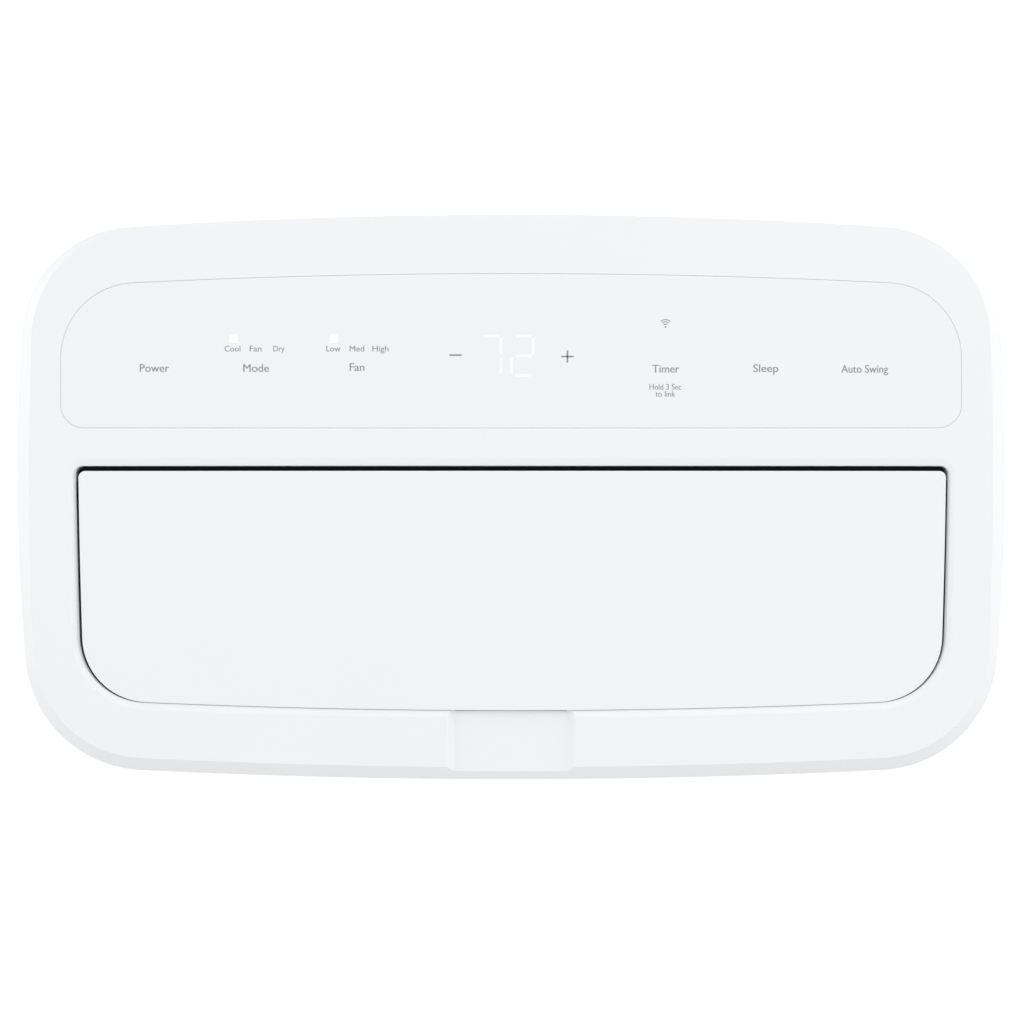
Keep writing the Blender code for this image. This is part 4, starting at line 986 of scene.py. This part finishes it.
def make_filter():
    """The slide-out filter: a frame with ribs and a ridged grip, and a fine mesh between them."""
    (left, front, floor), (right, back, top) = FILTER_LOW, FILTER_HIGH
    grip = right - GRIP_LENGTH
    middle_y = (front + back) / 2
    middle_z = (floor + top) / 2
    bars = [
        ((left, front, floor), (right, front + FILTER_BORDER, top)),
        ((left, back - FILTER_BORDER, floor), (right, back, top)),
        ((left, front, floor), (left + FILTER_BORDER, back, top)),
        ((grip, front, floor), (right, back, top)),
        ((left, middle_y - 0.001, floor + 0.0006), (grip, middle_y + 0.001, top)),
    ]
    parts = [(rounded_box(*corners, 0.0005), FILTER_GREY) for corners in bars]

    def repeat_bar(low, high, edge, segments, material, *where):
        parts.append((repeated(rounded_box(low, high, edge, segments), material, row(*where)), material))

    pitch = (grip - left - FILTER_BORDER) / 8
    repeat_bar(
        (-0.001, front + 0.003, floor + 0.0006), (0.001, back - 0.003, top), 0.0004, 2, FILTER_GREY,
        7, (left + FILTER_BORDER + pitch, 0.0, 0.0), (pitch, 0.0, 0.0),
    )
    strand_low, strand_high = middle_z - 0.0002, middle_z + 0.0002
    repeat_bar(
        (-STRAND_HALF, front + 0.004, strand_low), (STRAND_HALF, back - 0.004, strand_high), 0.00008, 1, DARK_PLASTIC,
        int((grip - left - FILTER_BORDER) / STRAND_PITCH), (left + FILTER_BORDER, 0.0, 0.0), (STRAND_PITCH, 0.0, 0.0),
    )
    repeat_bar(
        (left + 0.004, -STRAND_HALF, strand_low), (grip + 0.002, STRAND_HALF, strand_high), 0.00008, 1, DARK_PLASTIC,
        int((back - front - 2 * FILTER_BORDER) / STRAND_PITCH), (0.0, front + FILTER_BORDER, 0.0),
        (0.0, STRAND_PITCH, 0.0),
    )
    repeat_bar(
        (-0.0006, front + 0.016, top - 0.0006), (0.0006, back - 0.016, top), 0.0002, 1, FILTER_GREY,
        5, (grip + 0.006, 0.0, 0.0), (0.003, 0.0, 0.0),
    )
    piece("filter_screen", parts, "filter", ["air_filter"])


def make_gland():
    """The ribbed rubber gland."""
    low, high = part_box("cord_gland")
    x, _, z = middle_of("cord_gland")
    wall = HOUSING_BACK_Y
    profile = [(0.0042, low[1]), (0.0060, low[1]), (0.0061, wall + 0.0004), (0.0077, wall + 0.0004),
               (0.0080, wall + 0.0008), (0.0080, wall + 0.0026), (0.0076, wall + 0.0030)]
    for k in range(3):
        start = wall + 0.0034 + 0.0022 * k
        size = 0.0062 - 0.0003 * k
        profile += [(size - 0.0009, start), (size, start + 0.0004)]
        profile += [(size, start + 0.0014), (size - 0.0009, start + 0.0018)]
    profile += [(0.0050, high[1]), (0.0042, high[1])]
    place = Matrix.Translation((x, 0.0, z)) @ Matrix.Rotation(-math.pi / 2, 4, "X")
    piece("gland_sleeve", [(lathe_ring(profile, place), RUBBER)], stands_for=["cord_gland"])


# ---------------------------------------------------------------- coils, blower and outdoor fan


FIN_HALF = 0.00008
END_PLATE_HALF = 0.0006
TUBE_RADIUS = 0.0035
TUBE_SPACING = 0.021
SLAB_THICKNESS = 0.020
SLAB_HALF_WIDTH = 0.203
SLAB_FIN_PITCH = 0.0019
CONDENSER_FIN_PITCH = 0.0021
CONDENSER_ROWS = 12
BLOWER_AXIS = Vector((0.0, -0.160, 0.112))
BLOWER_BLADES = 35
BLADE_INNER = 0.0315
BLADE_OUTER = 0.0415
WHEEL_RADIUS = 0.0420
FAN_BLADES = 5
FAN_INNER = 0.0255
FAN_OUTER = 0.1000


def fin_row(low, high, first_x, pitch, count):
    """Thin fins in a row, each between two (y, z) corners."""
    fin = rounded_box((-FIN_HALF, *low), (FIN_HALF, *high), 0.00003, 1)
    return repeated(fin, FIN_ALUMINIUM, row(count, (first_x, 0.0, 0.0), (pitch, 0.0, 0.0)))


def end_plates(low, high, *places):
    """A plate at each x, between two (y, z) corners."""
    return gathered(*[
        rounded_box((x - END_PLATE_HALF, *low), (x + END_PLATE_HALF, *high), 0.0002, 1) for x in places
    ])


def finned_slab(low_centre, high_centre):
    """Thin fins across a sloping slab given by its (y, z) ends, with an end plate at each side and tubes through."""
    low = Vector(low_centre)
    high = Vector(high_centre)
    run = high - low
    middle = (low + high) / 2
    turn = Matrix.Rotation(math.atan2(run.y, run.x) - math.pi / 2, 4, "X")
    place = Matrix.Translation((0.0, middle.x, middle.y)) @ turn
    half_run = run.length / 2
    corners = ((-SLAB_THICKNESS / 2, -half_run), (SLAB_THICKNESS / 2, half_run))
    count = int(2 * (SLAB_HALF_WIDTH - 0.002) / SLAB_FIN_PITCH)
    fins = fin_row(*corners, -SLAB_FIN_PITCH * (count - 1) / 2, SLAB_FIN_PITCH, count)
    plates = end_plates(*corners, -SLAB_HALF_WIDTH + END_PLATE_HALF, SLAB_HALF_WIDTH - END_PLATE_HALF)
    rows = max(2, int(2 * half_run / TUBE_SPACING))
    reach = SLAB_HALF_WIDTH - 0.0002
    tubes = [
        rod("X", (y, -half_run + 2 * half_run * (k + 0.5) / rows), TUBE_RADIUS, -reach, reach, sides=12)
        for k in range(rows) for y in (-SLAB_THICKNESS / 4, SLAB_THICKNESS / 4)
    ]
    return [
        (moved(fins, place), FIN_ALUMINIUM), (moved(plates, place), FIN_ALUMINIUM),
        (moved(gathered(*tubes), place), COPPER),
    ]


def make_evaporator():
    """The two slabs of the indoor coil, leaning towards each other over the blower."""
    for end, low_centre, high_centre in (
        ("front", (-0.2120, 0.1695), (-0.1769, 0.2578)), ("rear", (-0.0970, 0.1880), (-0.1540, 0.2540)),
    ):
        piece(
            f"evaporator_fins_{end}", finned_slab(low_centre, high_centre),
            stands_for=[f"evaporator_{end}"],
        )


def bend_loop(centre, reach, spread, radius):
    """A return bend: two short straight ends and a half circle that stands out along X."""
    points = [Vector((centre[0] - reach, centre[1], centre[2] - spread))]
    direction = 1.0 if reach > 0 else -1.0
    for k in range(13):
        angle = -math.pi / 2 + math.pi * k / 12
        points.append(Vector((
            centre[0] + direction * spread * 0.55 * math.cos(angle), centre[1], centre[2] + spread * math.sin(angle)
        )))
    points.append(Vector((centre[0] - reach, centre[1], centre[2] + spread)))
    return tube(points, radius)


def make_condenser():
    """The rear coil: fins, end plates, tubes and return bends at both ends."""
    low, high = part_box("condenser_coil")
    left, right = low[0] + 0.010, high[0] - 0.010
    corners = (low[1:], high[1:])
    count = int((right - left - 0.003) / CONDENSER_FIN_PITCH)
    fins = fin_row(*corners, left + 0.002, CONDENSER_FIN_PITCH, count)
    plates = end_plates(*corners, left, right)
    step = (high[2] - low[2]) / CONDENSER_ROWS
    columns = (low[1] + 0.008, high[1] - 0.008)

    def raised(shapes, count, rise):
        return repeated(gathered(*shapes), COPPER, row(count, (0.0, 0.0, 0.0), (0.0, 0.0, rise)))

    def bends(x, level, reach, count):
        return raised([bend_loop((x, y, level), reach, step / 2, TUBE_RADIUS) for y in columns], count, 2 * step)

    tubes = raised([
        rod("X", (y, low[2] + step / 2), TUBE_RADIUS, left - 0.001, right + 0.001, sides=12) for y in columns
    ], CONDENSER_ROWS, step)
    right_bends = bends(right + 0.001, low[2] + step, 0.004, CONDENSER_ROWS // 2)
    left_bends = bends(left - 0.001, low[2] + 2 * step, -0.004, CONDENSER_ROWS // 2 - 1)
    piece("condenser_fins", [
        (fins, FIN_ALUMINIUM), (plates, FIN_ALUMINIUM), (tubes, COPPER), (right_bends, COPPER), (left_bends, COPPER),
    ], stands_for=["condenser_coil"])


def blower_blade_outline():
    """A thin forward-curved blade in (y, z), thinner at its two edges."""
    line = []
    for k in range(7):
        radius = BLADE_INNER + (BLADE_OUTER - BLADE_INNER) * k / 6
        angle = math.radians(17) * (k / 6) ** 1.6
        line.append(Vector((radius * math.cos(angle), radius * math.sin(angle))))
    sides = ([], [])
    for k, point in enumerate(line):
        along = (line[min(k + 1, 6)] - line[max(k - 1, 0)]).normalized()
        half = 0.00055 if 0 < k < 6 else 0.00025
        aside = Vector((-along.y, along.x)) * half
        sides[0].append(point + aside)
        sides[1].append(point - aside)
    return [tuple(p) for p in reversed(sides[0] + sides[1][::-1])]


def make_blower():
    """The cross-flow wheel: forward-curved blades between end discs, with three rings that stiffen them."""
    wheel_low, wheel_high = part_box("blower_wheel")
    end_x = wheel_high[0]
    blade = prism(blower_blade_outline(), "X", -end_x + 0.002, end_x - 0.002)
    blades = repeated(blade, DARK_PLASTIC, ring(BLOWER_BLADES, (1.0, 0.0, 0.0)))
    place = turn_to((1.0, 0.0, 0.0))
    disc = lathe_ring([
        (0.0043, end_x - 0.003), (0.0070, end_x - 0.003), (0.0075, end_x - 0.0022), (0.0400, end_x - 0.0026),
        (WHEEL_RADIUS, end_x - 0.0026), (WHEEL_RADIUS, end_x - 0.0002), (0.0418, end_x), (0.0043, end_x),
    ], place, 48)
    blind = lathe([
        (0.0, -end_x + 0.003), (WHEEL_RADIUS, -end_x + 0.0026), (WHEEL_RADIUS, -end_x + 0.0002), (0.0418, -end_x),
        (0.0075, -end_x), (0.0040, -end_x - 0.0012), (0.0040, wheel_low[0] + 0.0003), (0.0037, wheel_low[0]),
        (0.0, wheel_low[0]),
    ], place, 48)
    hoops = [lathe_ring([
        (0.0305, x - 0.0009), (WHEEL_RADIUS, x - 0.0009), (WHEEL_RADIUS, x + 0.0009), (0.0305, x + 0.0009),
    ], place, 48) for x in (-0.0995, 0.0, 0.0995)]
    wheel = moved(gathered(blades, disc, blind, *hoops), Matrix.Translation(BLOWER_AXIS))
    piece("blower_drum", [(wheel, DARK_PLASTIC)], "blower", ["blower_wheel"])


def fan_blade(front):
    """One swept and twisted blade, from the hub out to the slinger ring."""
    steps = 10
    lines = []
    for j in range(steps + 1):
        along = j / steps - 0.5
        line = []
        for i in range(steps + 1):
            out = i / steps
            radius = FAN_INNER + (FAN_OUTER - FAN_INNER) * out
            angle = math.radians(52 - 9 * out) * along + math.radians(16) * out
            y = front + 0.013 + (0.018 - 0.004 * out) * along - 0.0016 * math.cos(math.pi * along)
            line.append((radius * math.cos(angle), y, radius * math.sin(angle)))
        lines.append(line)
    shape = bmesh.new()
    skin(shape, lines, closed=False)
    work = stand_in(mesh_from(shape))
    wall = work.modifiers.new("wall", "SOLIDIFY")
    wall.thickness = 0.0018
    wall.offset = 0.0
    return applied(work)


def make_outdoor_fan():
    """The axial fan: five swept blades from a domed hub to the slinger ring."""
    low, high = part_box("condenser_fan")
    front, back = low[1], high[1]
    x, _, z = middle_of("condenser_fan")
    blades = repeated(fan_blade(front), DARK_PLASTIC, ring(FAN_BLADES, (0.0, 1.0, 0.0)))
    place = Matrix.Rotation(-math.pi / 2, 4, "X")
    hub = lathe_ring([
        (0.0043, front + 0.0004), (0.0100, front), (0.0250, front + 0.0012), (0.0276, front + 0.0040), (0.0280, back),
        (0.0250, back), (0.0240, front + 0.0060), (0.0095, front + 0.0050), (0.0085, back), (0.0043, back),
    ], place, 48)
    slinger = lathe_ring([
        (0.0980, front + 0.008), (0.1016, front + 0.008), (0.1020, front + 0.0085), (0.1020, front + 0.0195),
        (0.1016, front + 0.020), (0.0990, front + 0.020), (0.0984, front + 0.0095),
    ], place, 72)
    fan = moved(gathered(blades, hub, slinger), Matrix.Translation((x, 0.0, z)))
    piece("outdoor_fan", [(fan, DARK_PLASTIC)], "condenser_fan", ["condenser_fan"])


# ---------------------------------------------------------------- cabinet, guard and compressor


COVER_LOW, COVER_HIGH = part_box("cabinet_cover")
SHEET = 0.0012
LOUVRE_WIDTH = 0.0050
LOUVRE_PITCH = 0.0100
SIDE_LOUVRE_LENGTH = 0.068
SIDE_LOUVRES = 16
TOP_LOUVRE_LENGTH = 0.090
TOP_LOUVRES = 9
GUARD_BORDER = 0.013
GUARD_WIRES = 34
GUARD_UPRIGHTS = 5
WIRE_GRIP = 0.002
SCREW_RADIUS = 0.0034
SCREW_HEIGHT = 0.0016
FOOT_REACH = 0.058
FOOT_RADIUS = 0.012


def folded_outline(half, low, top, radius):
    """A sheet's edge seen from the front: up one side, over a rounded corner, and down the other side."""
    right = [(half, low)]
    for k in range(9):
        angle = math.radians(90 * k / 8)
        right.append((half - radius + radius * math.cos(angle), top - radius + radius * math.sin(angle)))
    return right + mirrored(right)


def louvre_slot(length, normal, low, high):
    """A slot with round ends that runs front to back, as a cutter."""
    return prism([(y, x) for x, y in reversed(slot_outline(length, LOUVRE_WIDTH))], normal, low, high)


def make_cabinet():
    """The folded cover, with rows of louvres round the fan and screws along its lower edges."""
    half, back, top = COVER_HIGH
    front, low = COVER_LOW[1:]
    outside = folded_outline(half, low, top, 0.0086)
    inside = folded_outline(half - SHEET, low, top - SHEET, 0.0074)
    cover = prism(outside + inside[::-1], "Y", front, back, 0.0003)

    slot = louvre_slot(SIDE_LOUVRE_LENGTH, "X", -0.030, 0.030)
    rise = (0.0, 0.0, LOUVRE_PITCH)
    bent = [(0.0, 0.0), (0.0, 0.0012), (0.0036, 0.0040), (0.0042, 0.0034), (0.0010, 0.0006), (0.0010, 0.0)]
    wall_x = half - SHEET - 0.0001
    slots = []
    blades = []
    for side in (-1, 1):
        for y in (0.050, 0.130):
            slots.append(repeated(slot, CABINET_PAINT, row(SIDE_LOUVRES, (side * 0.2215, y, 0.083), rise)))
            wing = prism([(-side * a + side * wall_x, b) for a, b in bent], "Y", y - 0.033, y + 0.033)
            blades.append(repeated(wing, CABINET_PAINT, row(SIDE_LOUVRES, (0.0, 0.0, 0.0860), rise)))
    top_slot = louvre_slot(TOP_LOUVRE_LENGTH, "Z", 0.270, 0.300)
    for x in (-0.125, 0.125):
        slots.append(repeated(top_slot, CABINET_PAINT, row(TOP_LOUVRES, (x, 0.068, 0.0), (0.0, LOUVRE_PITCH, 0.0))))
    cover = cut(cover, gathered(*slots))
    piece(
        "cabinet_shell", [(cover, CABINET_PAINT), (gathered(*blades), CABINET_PAINT)],
        stands_for=["cabinet_cover"],
    )

    heads = []
    for side in (-1, 1):
        place = Matrix.Translation((side * (half - 0.0001), 0.0, 0.0)) @ turn_to((side, 0, 0))
        head = moved(screw_head(SCREW_RADIUS, SCREW_HEIGHT), place)
        heads.append(repeated(head, BRIGHT_STEEL, row(4, (0.0, -0.095, 0.0235), (0.0, 0.1045, 0.0))))
    piece("cabinet_screws", [(gathered(*heads), BRIGHT_STEEL)])


def screw_head(radius, height):
    """A pan head with a cross recess, standing on the XY plane."""
    profile = [
        (0.0, height), (radius * 0.45, height * 0.96), (radius * 0.75, height * 0.80),
        (radius * 0.93, height * 0.5), (radius, height * 0.2), (radius, 0.0), (0.0, 0.0),
    ]
    head = lathe(profile, Matrix.Identity(4), 28)
    wide, thin = radius * 0.55, radius * 0.13
    cross = [(wide, -thin), (wide, thin), (thin, thin), (thin, wide), (-thin, wide), (-thin, thin), (-wide, thin),
             (-wide, -thin), (-thin, -thin), (-thin, -wide), (thin, -wide), (thin, -thin)]
    return cut(head, prism(cross, "Z", height * 0.35, height * 2))


def make_guard():
    """The rear guard: a rounded frame with close horizontal wires on a few uprights, and its four screws."""
    low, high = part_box("rear_grille")
    left, floor = low[0] + GUARD_BORDER, low[2] + GUARD_BORDER
    right, top = high[0] - GUARD_BORDER, high[2] - GUARD_BORDER
    hole = rounded_rectangle((left, floor), (right, top), 0.005)
    border = prism(
        rounded_rectangle((low[0], low[2]), (high[0], high[2]), 0.006), "Y", low[1], high[1], 0.0008, [hole]
    )
    wire_y, upright_y = (low[1] + high[1]) / 2 + 0.0007, (low[1] + high[1]) / 2 - 0.0006
    step = (top - floor) / (GUARD_WIRES + 1)
    wire = tube([(left - WIRE_GRIP, wire_y, 0.0), (right + WIRE_GRIP, wire_y, 0.0)], 0.0011)
    wires = repeated(wire, CABINET_PAINT, row(GUARD_WIRES, (0.0, 0.0, floor + step), (0.0, 0.0, step)))
    gap = (right - left) / (GUARD_UPRIGHTS + 1)
    upright = tube([(0.0, upright_y, floor - WIRE_GRIP), (0.0, upright_y, top + WIRE_GRIP)], 0.0012)
    uprights = repeated(upright, CABINET_PAINT, row(GUARD_UPRIGHTS, (left + gap, 0.0, 0.0), (gap, 0.0, 0.0)))
    piece(
        "rear_guard", [(gathered(border, wires, uprights), CABINET_PAINT)],
        stands_for=["rear_grille"],
    )
    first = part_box("grille_screw_1")
    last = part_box("grille_screw_4")
    radius = (first[1][0] - first[0][0]) / 2
    place = Matrix.Translation((0, first[0][1], 0)) @ turn_to((0, 1, 0))
    head = moved(screw_head(radius, first[1][1] - first[0][1]), place)
    start = (first[0][0] + radius, 0.0, first[0][2] + radius)
    across = (last[0][0] - first[0][0], 0.0, 0.0)
    up = (0.0, 0.0, last[0][2] - first[0][2])
    heads = repeated(head, BRIGHT_STEEL, row(2, start, across), row(2, (0.0, 0.0, 0.0), up))
    piece(
        "guard_screws", [(heads, BRIGHT_STEEL)],
        stands_for=[f"grille_screw_{k}" for k in range(1, 5)],
    )


def make_compressor():
    """The compressor's welded shell with its seam, its foot plate and its terminal guard."""
    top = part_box("compressor")[1][2]
    centre = Vector((0.145, 0.020, 0.0))
    radius, seam = 0.054, 0.150
    profile = [
        (0.0, top), (0.026, top), (0.031, top - 0.0008), (0.040, top - 0.0042), (0.047, top - 0.0095),
        (0.0515, top - 0.017), (0.0537, top - 0.027), (radius, seam + 0.003), (radius + 0.0012, seam + 0.0018),
        (radius + 0.0014, seam), (radius + 0.0004, seam - 0.0018), (radius - 0.0008, seam - 0.0022),
        (radius - 0.0008, 0.044), (0.0515, 0.036), (0.046, 0.030), (0.036, 0.0255), (0.024, 0.0222), (0.0, 0.0220),
    ]
    shell = lathe(profile, Matrix.Translation(centre), 56)
    feet = []
    for k in range(3):
        middle = math.radians(90 + 120 * k)
        foot = (centre.x + FOOT_REACH * math.cos(middle), centre.y + FOOT_REACH * math.sin(middle))
        for step in range(9):
            angle = middle + math.radians(60) * (step / 4 - 1)
            feet.append((foot[0] + FOOT_RADIUS * math.cos(angle), foot[1] + FOOT_RADIUS * math.sin(angle)))
    plate = prism(feet, "Z", 0.0225, 0.0255, 0.0005)
    guard_low = (centre.x + 0.002, centre.y - 0.016, top - 0.001)
    guard = rounded_box(guard_low, (centre.x + 0.026, centre.y + 0.010, top + 0.012), 0.003, 3)
    piece(
        "compressor_shell", [(shell, BLACK_ENAMEL), (plate, BLACK_ENAMEL), (guard, DARK_PLASTIC)],
        stands_for=["compressor"],
    )


# ---------------------------------------------------------------- finishes on the pieces that keep their CAD shape


CAD_FINISHES = {
    "touch_board": BOARD, "digit_display": DARK_PLASTIC, "flap_motor": ZINC_SHEET, "vane_link_bar": DARK_PLASTIC,
    "filter_rail_front": FACE_WHITE, "filter_rail_rear": FACE_WHITE, "drain_channel_front": GREY_PLASTIC,
    "drain_channel_rear": GREY_PLASTIC, "blower_scroll": DUCT_BLACK_AND_PAINTED_SHADE, "duct_end_left": DUCT_BLACK_AND_PAINTED_SHADE,
    "duct_end_right": DUCT_BLACK_AND_PAINTED_SHADE, "blower_motor_shaft": BRIGHT_STEEL, "blower_bearing": RUBBER,
    "blower_motor": ZINC_SHEET, "base_pan": ZINC_SHEET, "top_rail": ZINC_SHEET, "bulkhead": BULKHEAD_FOAM,
    "fan_shroud": GREY_PLASTIC, "fan_shaft": BRIGHT_STEEL, "fan_motor": BLACK_ENAMEL, "motor_bracket": ZINC_SHEET,
    "compressor_grommet_1": RUBBER, "compressor_grommet_2": RUBBER, "compressor_grommet_3": RUBBER,
    "accumulator": BLACK_ENAMEL, "discharge_tube": COPPER, "suction_tube": COPPER, "accumulator_tube": COPPER,
    "filter_drier": COPPER, "capillary_tube": COPPER, "control_box": ZINC_SHEET, "main_board": BOARD,
    "run_capacitor": ZINC_SHEET,
}


def finish_cad_nodes():
    for name, material in CAD_FINISHES.items():
        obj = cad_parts[name]
        if not obj.material_slots:
            obj.data.materials.append(material)
        for holder in obj.material_slots:
            holder.material = material


# ---------------------------------------------------------------- stage, light and camera


ROOM_WHITE = (0.99, 0.994, 1.0)


def even_glow(tree, kind, output_kind, seen, lighting):
    """An even glow with one (colour, strength) for what the camera sees, and another for what lights the object."""
    tree.nodes.clear()
    glows = [
        node(tree, kind, {"Color": (*colour, 1.0), "Strength": strength}) for colour, strength in (lighting, seen)
    ]
    path = node(tree, "ShaderNodeLightPath")
    mix = node(tree, "ShaderNodeMixShader")
    output = node(tree, output_kind)
    link = tree.links.new
    link(path.outputs["Is Camera Ray"], mix.inputs["Fac"])
    link(glows[0].outputs[0], mix.inputs[1])
    link(glows[1].outputs[0], mix.inputs[2])
    link(mix.outputs[0], output.inputs["Surface"])


def make_stage():
    """A plain white light table, and an even white room."""
    shape = bmesh.new()
    bmesh.ops.create_grid(shape, x_segments=1, y_segments=1, size=6.0)
    mesh = bpy.data.meshes.new("floor")
    shape.to_mesh(mesh)
    shape.free()
    floor = stand_in(mesh, "floor")
    floor.location.z = -0.0005
    material = bpy.data.materials.new("floor_white")
    material.use_nodes = True
    seen = ((1.0, 1.0, 1.0), 1.05)
    even_glow(material.node_tree, "ShaderNodeEmission", "ShaderNodeOutputMaterial", seen, (ROOM_WHITE, 0.88))
    mesh.materials.append(material)
    world = bpy.data.worlds.new("white_room")
    world.use_nodes = True
    even_glow(world.node_tree, "ShaderNodeBackground", "ShaderNodeOutputWorld", seen, (ROOM_WHITE, 0.80))
    scene.world = world


def softbox(name, place, target, size, power):
    """A rectangular light that faces its target."""
    light = bpy.data.lights.new(name, "AREA")
    light.shape = "RECTANGLE"
    light.size, light.size_y = size
    light.energy = power
    obj = stand_in(light, name)
    obj.location = place
    obj.rotation_euler = (Vector(target) - Vector(place)).to_track_quat("-Z", "Y").to_euler()


def make_lights_and_camera():
    """Soft light from the front, both sides, the back and above, and a level camera before the face."""
    middle = (0.0, -0.1, 0.15)
    softbox("front_softbox", (0.8, -2.9, 1.9), (0.0, -0.2, 0.15), (2.4, 1.6), 18.3)
    softbox("left_softbox", (-2.4, -0.9, 0.9), middle, (1.6, 1.8), 8.5)
    softbox("right_softbox", (2.5, -0.9, 0.9), middle, (1.6, 1.8), 9.0)
    softbox("left_edge_softbox", (-2.4, 0.9, 0.9), middle, (1.4, 1.8), 7.0)
    softbox("right_edge_softbox", (2.4, 0.9, 0.9), middle, (1.4, 1.8), 4.5)
    softbox("rear_softbox", (0.6, 2.6, 1.8), (0.0, 0.1, 0.15), (2.0, 1.6), 20.0)
    softbox("top_softbox", (0.0, -0.3, 2.4), (0.0, -0.1, 0.3), (2.0, 2.0), 3.0)
    camera = bpy.data.cameras.new("camera")
    camera.sensor_width = 36.0
    camera.lens = 141.2
    camera.clip_end = 60.0
    obj = stand_in(camera, "camera")
    obj.location = (0.0005, -2.436, 0.1472)
    obj.rotation_euler = (math.pi / 2, 0.0, 0.0)
    scene.camera = obj
    scene.view_settings.view_transform = "Standard"


# ---------------------------------------------------------------- the whole unit

make_stage()
make_lights_and_camera()
make_front_shell()
make_touch_cover()
make_symbols()
make_lights()
make_flap()
make_outlet()
make_vanes()
make_collar()
make_filter()
make_gland()
make_evaporator()
make_condenser()
make_blower()
make_outdoor_fan()
make_cabinet()
make_guard()
make_compressor()
finish_cad_nodes()
